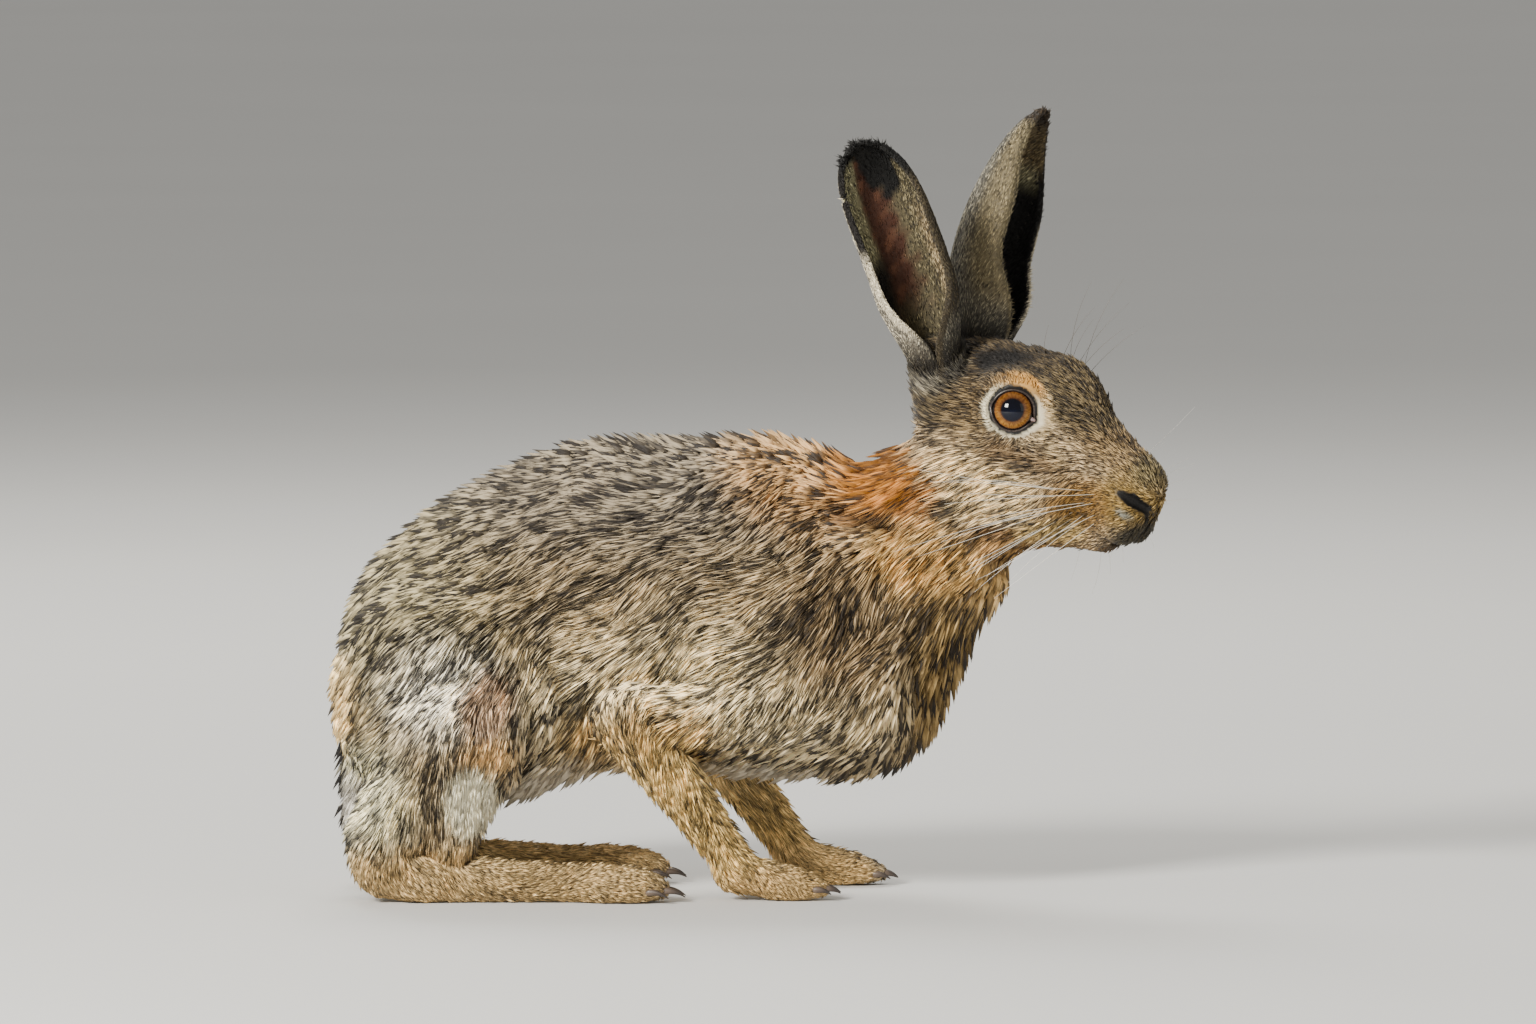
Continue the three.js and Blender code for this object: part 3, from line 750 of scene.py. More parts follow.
# %% Body patches
BODY_COLOUR, BODY_PEPPER = (156, 137, 106), 1.0
BODY_PATCHES = [
    ("back", ball((-15, 0, 192), (130, 75, 50)), 24, (104, 95, 82), 1.25),
    ("rump", ball((-98, 0, 112), (56, 75, 58)), 26, (126, 117, 90), 1.3),
    ("flank", ball((30, 0, 92), (100, 95, 36)), 22, (216, 199, 162), 1.1),
    ("shoulder", ball((92, 0, 122), (36, 95, 42)), 20, (130, 109, 79), 1.2),
    ("belly", ball((-5, 0, 46), (95, 34, 24)), 10, (226, 214, 192), 0.05),
    ("lower flank", ball((0, 0, 72), (36, 95, 16)), 12, (212, 178, 118), 0.7),
    ("chest", ball((136, 0, 102), (26, 42, 62)), 16, (122, 98, 54), 0.7),
    ("nape fade", ball((84, 0, 186), (44, 75, 26), -4), 16, (156, 120, 74), 0.8),
    ("nape", ball((112, 0, 188), (27, 75, 22), -4), 11, (146, 90, 10), 0.4),
    ("nape edge", ball((126, 0, 212), (12, 45, 13)), 7, (196, 142, 52), 0.3),
    # A dark line along the fold low on the nape: painted shade in the crease.
    ("shade in the nape fold", limb((88, 0, 170), (124, 0, 164), (3, 3), 20), 80, (92, 58, 22), 0.4),
    ("ruff", ball((134, 0, 150), (38, 90, 17), -12), 9, (216, 176, 110), 0.45),
    # Silvery grizzle of the thigh, its base colour brightened as a painted highlight.
    ("thigh", ball((-84, 0, 92), (34, 75, 30), -20), 14, (246, 240, 226), 1.5),
    ("lower hind", ball((-116, 0, 46), (26, 75, 32)), 12, (204, 198, 168), 1.0),
    ("rump edge", ball((-136, 0, 88), (12, 90, 20)), 9, (236, 204, 146), 0.6),
    ("knee", ball((-66, 0, 88), (12, 150, 18), -20), 5, (206, 176, 146), 0.4),
    ("knee low", ball((-67, 0, 66), (14, 150, 8)), 5, (226, 186, 128), 0.4),
    # Dark lines along the thigh's and the knee's folds: painted shade in the creases.
    ("shade in the thigh fold", limb((-68, 0, 114), (-47, 0, 88), (1.5, 1.5), 20), 60, (52, 44, 34), 0.6),
    ("shade in the knee fold", limb((-47, 0, 88), (-53, 0, 66), (1.5, 1.5), 20), 60, (70, 58, 42), 0.6),
    # Cream front of the shank, brightened further as painted light.
    ("lit cream shank front", ball((-74, 0, 46), (13, 150, 17)), 4, (255, 248, 220), 0.1),
    ("hind foot", limb((-112, 46, 10), (-4, 47, 9), (18, 17)), 6, (204, 174, 122), 0.35),
    ("near forearm", limb((12, -37, 58), (42, -37, 15), (17, 16)), 14, (224, 190, 118), 0.35),
    ("far forearm", limb((38, 37, 58), (68, 37, 15), (17, 16)), 14, (214, 180, 112), 0.35),
    ("fore feet", ball((66, 0, 6), (44, 60, 15)), 5, (210, 176, 118), 0.3),
    ("tail tip", limb((-121, 0, 40), (-120, 0, 20), (18, 16)), 5, (232, 226, 214), 0.0),
    ("tail stripe", limb((-136, 0, 96), (-144, 0, 20), (9, 13)), 3, (26, 22, 20), 0.05),
]
print("patches on the body:", len(BODY_PATCHES))

# %% [markdown]
# ## Colours of the head
# These patches are written in the head's frame and end with the head, but a patch that is called an
# edge may run over onto the neck.

# %% Head patches
HEAD_COLOUR, HEAD_PEPPER = (158, 137, 106), 0.9
HEAD_PATCHES = [
    ("ear root", ball((-37, 18, 14), (18, 34, 22)), 7, (64, 54, 36), 0.9),
    ("bridge", ball((42, 0, -12), (25, 30, 12), -42), 6, (122, 100, 66), 0.95),
    ("temple", ball((-18, 20, 2), (13, 24, 14)), 7, (104, 86, 58), 0.8),
    ("forehead", ball((23, 0, 12), (27, 50, 17), -30), 6, (76, 64, 42), 1.0),
    ("crown", ball((-8, 0, 30), (28, 50, 16)), 7, (58, 48, 33), 1.4),
    ("low cheek", ball((-20, 26, -32), (30, 22, 15), -10), 7, (220, 195, 150), 0.85),
    ("band below the eye", limb((-8, 27, -15), (20, 20, -22), (5.5, 4.5)), 4.5, (108, 86, 58), 0.6),
    ("under the cheek", ball((-16, 0, -60), (34, 60, 9)), 4, (204, 158, 98), 0.4),
    # Dark brown lines round the cheek's rear, lower and front edge: partly its change of colour,
    # partly painted shade under the edge of the cheek where it overhangs neck and throat.
    ("rear edge shade", limb((-50, 20, -20), (-42, 20, -38), (4.5, 4.5), 2.5), 4.5, (112, 80, 42), 0.4),
    ("cheek edge shade", limb((-42, 20, -38), (-14, 20, -49), (4, 3.5), 2.5), 4.5, (110, 78, 42), 0.4),
    ("front edge shade", limb((-14, 20, -49), (16, 15, -57), (3.5, 3), 2.5), 3.5, (112, 82, 46), 0.4),
    ("cheek streak", limb((13, 19, -7), (20, 18, -20), (3.4, 2.6)), 2.5, (204, 180, 136), 0.2),
    ("muzzle", ball((47, 0, -38), (17, 24, 15)), 6, (150, 122, 62), 0.4),
    ("whisker pad", ball((27, 14, -40), (14, 16, 12)), 7, (146, 108, 46), 0.45),
    ("muzzle side", ball((14, 15, -53), (15, 14, 7)), 5, (200, 170, 108), 0.45),
    ("nose", ball((57, 0, -25), (9, 14, 9)), 5, (104, 92, 62), 0.5),
    ("lips", ball((52, 0, -55), (12, 22, 9.5)), 3.5, (56, 50, 37), 0.4),
    ("pale spot", ball((48.4, 11, -42.4), (4.8, 6, 2.0), -30), 1.2, (150, 148, 134), 0.1),
    ("chin", ball((38, 0, -61), (7, 20, 4.5)), 3, (24, 23, 19), 0.1),
    ("lip line", limb((56.5, 5.5, -42), (57, 2.5, -58), (1.5, 1.5)), 0.8, (18, 15, 12), 0.0),
    ("throat", ball((6, 0, -66), (34, 17, 9)), 7, (132, 98, 46), 0.4),
    ("crown streak", limb((-15.7, 15, 23), (4.4, 12, 30.3), (6, 6)), 3, (8, 6, 5), 0.3),
]
print("patches on the head:", len(HEAD_PATCHES))

# %% [markdown]
# ## Round the eyes
# A cream ring, broken above, surrounds a dark lid edge, and an orange-buff crescent lies above it.
# All of them are bands of the distance outside the lids, wider or narrower by their direction.

# %% Marks round the eyes
EYE_RING, EYE_CRESCENT, LID_SKIN = (250, 240, 208), (226, 172, 92), (12, 9, 8)
EYE_FRONT = (206, 184, 142)


def eye_marks(coat, u, v, w):
    """Bands by the distance outside the lids in mm, seen along the eye's axis: r sin(theta) less
    the opening's own radius."""
    for side in (1, -1):
        r, theta, psi = eye_place(u, v, w, side)
        opening = (EYE_RADIUS + LID) * np.sin(lid_angle(psi))
        gap = r * np.sin(np.minimum(theta, math.pi / 2)) - opening
        near = smooth(EYE_RADIUS + 13, EYE_RADIUS + 9, r) * (np.abs(theta) < 1.9)
        ring, edge = 2.4, 0.35
        for height, middle, width in ((1.3, 2.9, 0.8), (1.8, -0.1, 0.5), (-2.2, 1.1, 0.65)):
            ring = ring + height * bump(psi, middle, width)
        for height, middle, width in ((1.2, 1.8, 0.8), (0.35, 0.5, 0.6), (0.3, -1.4, 0.7)):
            edge = edge + height * bump(psi, middle, width)
        above = smooth(8.2, 6.4, gap) * smooth(0.2, 1.6, gap) * bump(psi, 1.2, 0.75)
        lay_on(coat, near * smooth(10.5, 6.5, gap) * bump(psi, -0.15, 0.6), EYE_FRONT, 0.2)
        lay_on(coat, near * smooth(ring + 1.2, ring - 0.6, gap), EYE_RING, 0.03)
        lay_on(coat, near * above, EYE_CRESCENT, 0.08)
        lay_on(coat, near * smooth(edge + 0.7, edge, gap), LID_SKIN, 0.0)


print("colours round the eyes:", EYE_FRONT, EYE_RING, EYE_CRESCENT, LID_SKIN)

# %% [markdown]
# ## On the ears
# The back of an ear is grey and peppered, its tip black. The hollow is dark with a naked pinkish
# middle; the black in most of the far ear's hollow and low by the rear rim is painted shade, and
# a pale patch high by the rear rim is painted light shining through. A mark is a product of S
# curves of two numbers: how far along the ear a point lies, and how far across it, from -1 at the
# rear rim to 1 at the leading rim.

# %% Marks on the ears
BLACK_FROM = 0.72


def ear_marks(coat, u, v, w, ear):
    """Rows of (mask, colour, pepper), laid on in order; t runs along the ear and s across it."""
    t, _, across, behind = ear_place(u, v, w, ear)
    radius, wall, turn = ear_profile(t, ear)
    inner = ear_hollow(across, behind, radius, wall)
    s = ear["lead"] * np.arctan2(across, behind) / turn
    on = smooth(5.5, 3.5, ear_distance(u, v, w, ear, EAR_COAT)) * smooth(0.0, 0.12, t)
    rough = wobble(np.stack([u, v, w], 1), 9, 60)
    pink = smooth(-0.45, -0.30, s) * smooth(0.22, -0.05, s + 0.12 * rough) * smooth(0.24, 0.4, t)
    black_from = BLACK_FROM + 0.12 * smooth(0.3, 0.6, s) + 0.20 * smooth(0.0, -0.4, s)
    black_from = black_from + 0.03 * rough
    front_strip = smooth(0.3, 0.55, s) * smooth(0.9, 0.7, s) * smooth(0.75, 0.6, t)
    rim = smooth(-0.95, -0.985, s)
    if ear is EARS["right"]:
        lead_hair, lead_rim = ((60, 52, 36), 0.7), (58, 50, 34)
        last = [
            (smooth(0.90, 0.95, t), (9, 8, 7), 0.0),
            (smooth(0.5, 0.8, s) * smooth(0.80, 0.88, t), (9, 8, 7), 0.0),
        ]
    else:
        lead_hair, lead_rim = ((132, 120, 90), 0.6), (112, 102, 76)
        last = [
            # Black in the far ear's hollow up to about 0.7 of its length: painted shade in its
            # narrow opening.
            (inner * smooth(0.8, 0.7, t), (14, 11, 9), 0.0),
            (inner * smooth(0.76, 0.84, t), (104, 90, 62), 0.4),
            (smooth(0.93, 0.97, t), (52, 42, 30), 0.3),
        ]
    rows = [
        (1, (110, 107, 97), 1.0),
        (smooth(-0.3, -0.8, s), (150, 144, 130), 0.8),
        (smooth(0.3, 0.12, t), (30, 26, 17), 0.7),
        (smooth(0.45, 0.8, s) * smooth(0.2, 0.35, t), *lead_hair),
        (inner, (98, 90, 66), 0.8),
        (inner * front_strip, (128, 112, 84), 0.8),
        # Pale olive high in the hollow by the rear rim: painted light shining through the thin rim.
        (inner * smooth(-0.3, -0.45, s) * smooth(0.46, 0.6, t), (150, 146, 114), 0.8),
        (inner * pink, (80, 46, 30), 0.0),
        (inner * pink * smooth(0.1, 0.7, rough), (118, 76, 54), 0.0),
        # Black low in the hollow by the rear rim: painted shade deep in the ear.
        (inner * smooth(-0.2, -0.42, s) * smooth(0.56, 0.46, t), (18, 14, 11), 0.0),
        (inner * smooth(0.2, 0.12, t), (30, 24, 18), 0.1),
        (inner * smooth(0.0, 0.05, t - black_from), (7, 6, 5), 0.0),
        (smooth(0.95, 0.99, s), lead_rim, 0.3),
        (rim * smooth(0.22, 0.32, t), (214, 204, 180), 0.2),
        (rim * smooth(0.56, 0.64, t), (24, 20, 17), 0.1),
    ]
    for mask, rgb, pepper in rows + last:
        lay_on(coat, on * mask, rgb, pepper)


print("the hollow turns black at", BLACK_FROM, "of an ear's length")

# %% [markdown]
# ## All markings together
# Body first, then head, eyes, ears and the painted shade in the nostrils, mouth and cleft, since
# each covers what lies before it.

# %% Markings
HEAD_FADE = (16, 6)
GROOVE_SHADE, CLEFT_SHADE = (14, 11, 10), (24, 20, 16)


def markings(p):
    """Base colour in linear light and pepper at points p (n, 3)."""
    x, y, z = p.T
    u, v, w = to_head(x, y, z)
    coat = np.tile(linear(BODY_COLOUR), (len(p), 1)), np.full(len(p), BODY_PEPPER)
    for name, shape, soft, rgb, pepper in BODY_PATCHES:
        side = y if name.startswith(("near", "far")) else np.abs(y)
        lay_on(coat, smooth(soft, -soft, mass_distance(x, side, z, shape)), rgb, pepper)
    on_head = smooth(*HEAD_FADE, chain(HEAD_ROWS, u, v, w))
    lay_on(coat, on_head, HEAD_COLOUR, HEAD_PEPPER)
    for name, shape, soft, rgb, pepper in HEAD_PATCHES:
        mask = smooth(soft, -soft, mass_distance(u, np.abs(v), w, shape))
        lay_on(coat, mask if "edge" in name else on_head * mask, rgb, pepper)
    eye_marks(coat, u, v, w)
    for ear in EARS.values():
        ear_marks(coat, u, v, w, ear)
    # Nostrils, mouth and the lip's cleft are darkened: painted shade inside these grooves.
    for mass, _ in PAIRED_GROOVES[:DARK_GROOVES]:
        lay_on(coat, smooth(1.1, 0.4, limb_distance(u, np.abs(v), w, mass)), GROOVE_SHADE, 0.0)
    lay_on(coat, smooth(0.8, 0.2, limb_distance(u, v, w, CLEFT[0])), CLEFT_SHADE, 0.0)
    return coat


skin_mark, skin_pepper = markings(skin_points)
print("mean colour of the skin, linear:", skin_mark.mean(0).round(3))

# %% [markdown]
# ## Hair as a field
# Depth, length and lie of the hair change smoothly over the animal. Each mass brings its own
# values, and a point takes the mean of its neighbours', nearest first. On the face the hair also
# fans out from the nose and round the eyes; on the ears it runs up the leaf and out to the rims.

# %% Depth, length and lie
HEAD_START = len(BODY_ROWS)
NEIGHBOURHOOD = 6
NOSE_FAN, FAN_SIZE = np.array([57.0, 0.0, -34.0]), 22


def hair_at(p):
    """Coat depth, hair length and lie (world) at skin points, and the number of the nearest mass.
    Each mass weighs exp(-(its distance - the smallest distance) / neighbourhood)."""
    x, y, z = p.T
    head = np.stack(to_head(x, y, z), 1)
    rows, far = [], []
    for mass, _, coat, length, lay in BODY_ROWS:
        far.append(mass_distance(x, y, z, mass) + coat)
        rows.append((coat, length, *lay))
    for mass, _, coat, length, lay in HEAD_ROWS:
        far.append(mass_distance(*head.T, mass) + coat)
        rows.append((coat, length, *turn_out(lay)))
    far = np.array(far)
    weight = np.exp(-(far - far.min(0)) / NEIGHBOURHOOD)
    depth, length, *lay = (np.array(rows).T @ weight) / weight.sum(0)
    lay = np.stack(lay, 1)
    fan = head - NOSE_FAN
    lay += 1.2 * turn_out(unit(fan)) * np.exp(-np.linalg.norm(fan, axis=1) / FAN_SIZE)[:, None]
    for side in (1, -1):
        r, theta, psi = eye_place(*head.T, side)
        near = smooth(1.9, 1.1, theta) * smooth(EYE_RADIUS + 9, EYE_RADIUS + 4, r)
        lay += 1.6 * turn_out(round_eye(side, psi)) * near[:, None]
        depth = depth * (1 - 0.55 * near)
        length = length * (1 - 0.4 * near)
    return depth, length, lay, far.argmin(0)


def on_ears(p, depth, length, lay):
    """Overwrites depth, length and lie on the ears; returns 0 off the ears, 1 right, 2 left,
    and how bare each point is (the hollow's middle)."""
    which, bare = np.zeros(len(p), int), np.zeros(len(p))
    place = to_head(*p.T)
    for number, ear in enumerate(EARS.values(), 1):
        t, _, across, behind = ear_place(*place, ear)
        radius, wall, turn = ear_profile(t, ear)
        on = smooth(2.5, 0.8, ear_distance(*place, ear, EAR_COAT)) * smooth(0.02, 0.14, t)
        _, axis, front, side = ear_axes(ear)
        angle = np.arctan2(across, behind)
        inner = ear_hollow(across, behind, radius, wall)
        to_rim = np.cos(angle)[:, None] * side + np.sin(angle)[:, None] * front
        spread = (0.25 + 0.55 * inner) * np.sign(angle) * smooth(0.1, 0.9, np.abs(angle) / turn)
        lie = turn_out(axis + spread[:, None] * to_rim)
        lay += on[:, None] * (lie - lay)
        depth += on * (0.5 + 0.3 * inner - depth)
        length += on * (3.4 + 0.8 * inner - length)
        middle = inner * smooth(0.42, 0.25, np.abs(ear["lead"] * angle / turn + 0.1))
        bare = np.maximum(bare, on * middle)
        which[on > 0.5] = number
    return which, bare


depths = hair_at(skin_points[::50])[0]
print("coat depth in mm, least and most:", depths.min().round(1), depths.max().round(1))

# %% [markdown]
# ## Where tufts grow
# Roots are scattered over the skin's triangles: the shorter and finer the hair, the more tufts per
# square millimetre, so that every place is covered by the same number of layers. None grow on the
# eyeballs, the lid edges, in the nostrils or under the soles.

# %% Scattering the roots
TUFTS = 350000
BARE_LID = math.radians(2.6)
BARE_GROOVE = 0.7
rng = np.random.default_rng(7)
corners = skin_quads[:, [0, 1, 2, 0, 2, 3]].reshape(-1, 3)
triangles = skin_points[corners]
cross = np.cross(triangles[:, 1] - triangles[:, 0], triangles[:, 2] - triangles[:, 0])
area = np.linalg.norm(cross, axis=1) / 2


def growth(p, normal):
    """Tufts wanted per square millimetre, up to a factor: length^-0.27, less where hidden."""
    depth, length, lay, label = hair_at(p)
    which, bare = on_ears(p, depth, length, lay)
    wanted = length ** -0.27
    wanted *= np.where(which > 0, 0.5, 1) * (1 - 0.75 * bare)
    below = smooth(-0.4, -0.9, normal[:, 2])
    wanted *= np.where(label >= HEAD_START, 1.0, 1 - 0.45 * below)
    u, v, w = to_head(*p.T)
    for side in (1, -1):
        r, theta, psi = eye_place(u, v, w, side)
        off_lid = theta - lid_angle(psi) > BARE_LID
        wanted *= off_lid | (r > EYE_RADIUS + 14) | (r < EYE_RADIUS - 9)
        for mass, _ in PAIRED_GROOVES[:DARK_GROOVES]:
            wanted *= limb_distance(u, side * v, w, mass) > BARE_GROOVE
    return wanted * smooth(1.2, 2.6, p[:, 2])


face_normal = cross / np.maximum(2 * area, 1e-9)[:, None]
chance = area * growth(triangles.mean(1), face_normal)
pick = np.sort(rng.choice(len(corners), TUFTS, p=chance / chance.sum()))
a, b = np.sqrt(rng.random(TUFTS)), rng.random(TUFTS)
share = np.stack([1 - a, a * (1 - b), a * b], 1)
root = (triangles[pick] * share[..., None]).sum(1)
vertex_normal = np.zeros_like(skin_points)
for corner in range(3):
    for axis in range(3):
        vertex_normal[:, axis] += np.bincount(corners[:, corner], cross[:, axis], len(skin_points))
vertex_normal = unit(vertex_normal)
normal = unit((vertex_normal[corners[pick]] * share[..., None]).sum(1))
print("skin area in cm2:", round(area.sum() / 100), "tufts:", TUFTS)

# %% [markdown]
# ## Which way the tufts lean
# The lie of the hair is pressed flat into the skin and then swirled a little, in broad and narrow
# waves, since no coat lies perfectly combed.

# %% Lean of each tuft
depth, length, lay, label = hair_at(root)
ear_side, bare = on_ears(root, depth, length, lay)
swirl = 0.28 * wobble(root, 60, 1) + 0.22 * wobble(root, 24, 2) + 0.12 * wobble(root, 11, 3)
swirl *= np.where(ear_side > 0, 0.35, 1)


def flat_to(normal, vectors):
    """The part of a direction that lies in the skin, at unit length: v - n (v . n)."""
    return unit(vectors - normal * (vectors * normal).sum(1, keepdims=True))


tangent = flat_to(normal, lay)
tangent = unit(tangent + np.tan(swirl)[:, None] * np.cross(normal, tangent))
print("hair length in mm, least and most:", length.min().round(1), length.max().round(1))

# %% [markdown]
# ## Locks
# Real hairs lean on each other in small pointed locks, and locks gather in clumps. Roots that fall
# into one small cell belong to one lock: the whole lock shares a height and a shade. The cells come
# from a grid whose walls are bent by noise, so that they form no rows.

# %% Locks and clumps
LONG_HAIR, MIDDLE_HAIR = 12.5, 7.5
LOCK_SIZES, SHORT_LOCK = [1.6, 1.3], 0.95
CLUMP_SIZE = 3.6
CELL_LIMIT = 4096
size = np.select([length > LONG_HAIR, length > MIDDLE_HAIR], LOCK_SIZES, SHORT_LOCK)
jitter = np.stack([wobble(root, 7, 20 + i) + 0.6 * wobble(root, 3, 30 + i) for i in range(3)], 1)


def cells(size):
    """Numbers the bent grid's cells that hold roots; gives each root's cell and the counts."""
    place = np.floor((root + 0.9 * jitter) / size[:, None]).astype(np.int64) + CELL_LIMIT // 2
    key = (place[:, 0] * CELL_LIMIT + place[:, 1]) * CELL_LIMIT + place[:, 2]
    key = key * 64 + (size * 4).astype(np.int64)
    _, cell, members = np.unique(key, return_inverse=True, return_counts=True)
    return cell.ravel(), members


lock, members = cells(size)
clump, clump_members = cells(CLUMP_SIZE * size)


def lock_mean(values):
    """Mean of some values over each lock, handed back to its members."""
    sums = [np.bincount(lock, values[:, i]) for i in range(values.shape[1])]
    return (np.array(sums) / members).T[lock]


lock_random = rng.random((len(members), 3))[lock]
clump_random = rng.random((len(clump_members), 2))[clump]
own_random = rng.random((TUFTS, 4))
print("locks:", len(members), "tufts in each:", round(TUFTS / len(members), 1))

# %% [markdown]
# ## Waists and tips
# Each tuft is a slim solid of four faces: a point in the skin, two corners at its waist, and a tip.
# The tips of a lock are drawn together. Waist and tip are set at a given height over the skin with
# the same distance field, so the coat ends at the outline. A few guard hairs stand out.

# %% Heights of waist and tip
WAIST_AT = 0.46
GUARD_FROM, GUARD_HEIGHT = 0.975, 1.15
FLOOR_GAP = 0.4
CREST = ball((-6, 0, 28), (20, 15, 9))
heading = unit(lock_mean(tangent) + 0.55 * tangent)
heading = flat_to(normal, heading + 0.10 * rng.normal(size=(TUFTS, 3)))
reach = length * (0.82 + 0.3 * own_random[:, 0]) * 0.9
tip = root + heading * reach[:, None]
tip += (0.42 + 0.25 * lock_random[:, :1]) * (lock_mean(tip) - tip)
waist = root + WAIST_AT * (tip - root) + 0.04 * reach[:, None] * normal
relief = 0.45 + 0.55 * smooth(7, 11, length)
lift = 0.72 + relief * (0.40 * (lock_random[:, 1] - 0.6) + 0.26 * (clump_random[:, 0] - 0.6))
lift *= depth * (0.84 + 0.24 * own_random[:, 1])
streaks = sum(wobble(root + heading * step, 8, 50) for step in (-6, -3, 0, 3, 6)) / 3.2
lift *= 1 + 0.17 * np.clip(streaks, -1, 1)
head_place = to_head(*root.T)
lift *= 1 + 0.9 * smooth(6, -3, ball_distance(*head_place, CREST)) * clump_random[:, 0]
guard = own_random[:, 2] > GUARD_FROM
lift = np.where(guard, depth * GUARD_HEIGHT, lift)
tip += normal * (lift - skin(tip))[:, None]
waist += normal * (0.7 * lift - skin(waist))[:, None]
tip[:, 2], waist[:, 2] = np.maximum(tip[:, 2], FLOOR_GAP), np.maximum(waist[:, 2], FLOOR_GAP)
print("mean height of the tips over the skin, mm:", lift.mean().round(1))

# %% [markdown]
# ## Hairs in the way
# A few tufts near the openings would lie across an eye, a nostril or the mouth, and are left out.

# %% Clearing the openings
LID_CLEARANCE, GROOVE_CLEARANCE = 0.02, 0.1


def in_the_way(points):
    """True within the opening of the lids, or too close to a nostril or the mouth."""
    u, v, w = to_head(*points.T)
    across = limb_distance(u, v, w, CLEFT[0]) < 0
    for side in (1, -1):
        r, theta, psi = eye_place(u, v, w, side)
        across |= (theta < lid_angle(psi) + LID_CLEARANCE) & (r < EYE_RADIUS + 5)
        for mass, _ in PAIRED_GROOVES[:DARK_GROOVES]:
            across |= limb_distance(u, side * v, w, mass) < GROOVE_CLEARANCE
    return across


near_head = root[:, 0] > 90
blocked = np.zeros(TUFTS, bool)
blocked[near_head] = in_the_way(tip[near_head]) | in_the_way(waist[near_head])
print("tufts left out:", int(blocked.sum()))

# %% [markdown]
# ## From tufts to solids
# Each tuft is turned a little about its length, and set slightly into the skin so that no gap shows
# at its root. Longer hair makes wider tufts.

# %% Solids from roots, waists and tips
ROOT_DEPTH = 0.3
TUFT_FACES = np.array([[0, 2, 1], [3, 1, 2], [0, 1, 3], [0, 3, 2]])


def tuft_width(length):
    """Width of a waist in mm, a straight line of the hair's length."""
    return 0.26 + 0.014 * length


def tuft_points(chosen):
    """Four points for each tuft: root, left and right corner of the waist, tip."""
    width = tuft_width(length[chosen]) * (0.8 + 0.5 * own_random[chosen, 3])
    width = np.where(guard[chosen], 0.6 * width, width)[:, None]
    along = unit(tip[chosen] - root[chosen])
    side = unit(np.cross(along, normal[chosen]))
    up = np.cross(side, along)
    roll = rng.normal(0, 0.3, (len(side), 1))
    side = side * np.cos(roll) + up * np.sin(roll)
    foot = root[chosen] - ROOT_DEPTH * normal[chosen]
    corners = [waist[chosen] - side * width / 2, waist[chosen] + side * width / 2]
    return np.stack([foot, *corners, tip[chosen]], 1)


print("tuft width in mm, shortest and longest hair:",
      tuft_width(length.min()).round(2), tuft_width(length.max()).round(2))

# %% [markdown]
# ## A map for baking
# To bake a finish, every tuft needs a place of its own on a flat map. Each region is unwrapped and
# its crowded places are spread out; a tuft is then a tiny patch round its root's place.

# %% Unwrapping a region
PATCH = 0.0015
TUFT_MAP = np.array([[0, -1], [-1, 0], [1, 0], [0, 1]]) * PATCH


def rank(values):
    """Order of each value as a share from 0 to 1, which spreads crowded places out."""
    order = np.empty(len(values))
    order[np.argsort(values, kind="stable")] = np.linspace(0.01, 0.99, len(values))
    return order


def unwrap(p, ear):
    """A region laid flat: on an ear, place across and length along; elsewhere the angle round
    the region's middle and the length along its longest axis."""
    if ear:
        shape = list(EARS.values())[ear - 1]
        t, _, across, behind = ear_place(*to_head(*p.T), shape)
        outer = np.hypot(across, behind) > ear_profile(t, shape)[0] - 2
        return rank(np.arctan2(across, behind) + 7 * outer), rank(t)
    centre = p.mean(0)
    _, axes = np.linalg.eigh(np.cov((p - centre).T))
    q = (p - centre) @ axes
    return rank(np.arctan2(q[:, 0], q[:, 1])), rank(q[:, 2])


print("least and most of a map coordinate:", rank(lift).min(), rank(lift).max())

# %% [markdown]
# ## A coat piece
# One mesh per region keeps each piece small. Every tuft carries its root's colour, a shade from its
# lock and a value that runs from root to tip. The colour is looked up a little way off at random,
# so that patches blend hair by hair.

# %% Making a coat piece


def tuft_shade(chosen):
    """Below 0 dark, above 0 pale: shares of the lock, the tuft, the clump and long streaks."""
    long = smooth(6.5, 9, length[chosen])
    shade = (1.5 + 0.5 * long) * (lock_random[chosen, 2] - 0.5)
    shade += 2.8 * (own_random[chosen, 0] - 0.5)
    # The streaks also lift these tufts, so their share is painted light on the coat's ridges and
    # painted shade in the troughs between them.
    shade += 0.6 * (clump_random[chosen, 1] - 0.5) + (0.3 + 0.6 * long) * streaks[chosen] - 0.15
    return shade


def add_tufts(name, chosen, material, slot, ear=0):
    """One coat piece from the chosen tufts, with its colours and its map; gives their number."""
    chosen = np.flatnonzero(chosen & ~blocked)
    points = tuft_points(chosen)
    faces = (TUFT_FACES[None] + 4 * np.arange(len(chosen))[:, None, None]).reshape(-1, 3)
    blur = np.clip(0.42 * (length[chosen] - 4), 0.3, 5)[:, None] * own_random[chosen, 1:4]
    seen = root[chosen] + 0.6 * (tip[chosen] - root[chosen])
    colour, pepper = markings(seen + flat_to(normal[chosen], own_random[chosen, 1:4] - 0.5) * blur)
    colour = colour * (1 + 0.10 * wobble(root[chosen], 30, 5))[:, None]
    piece = add_piece(name, points.reshape(-1, 3), faces, material, slot,
                      mark=np.repeat(colour, 4, axis=0),
                      shade=np.repeat(tuft_shade(chosen) * pepper, 4),
                      along=np.tile([0, 0.45, 0.45, 1], len(chosen)))
    place = np.stack(unwrap(root[chosen], ear), 1)
    flat = (place[:, None, None, :] + TUFT_MAP[TUFT_FACES][None]).astype(np.float32)
    piece.data.uv_layers.new(name="OFBake").data.foreach_set("uv", flat.ravel())
    return len(chosen)


print("pepper on the skin, least and most:", skin_pepper.min().round(2), skin_pepper.max().round(2))

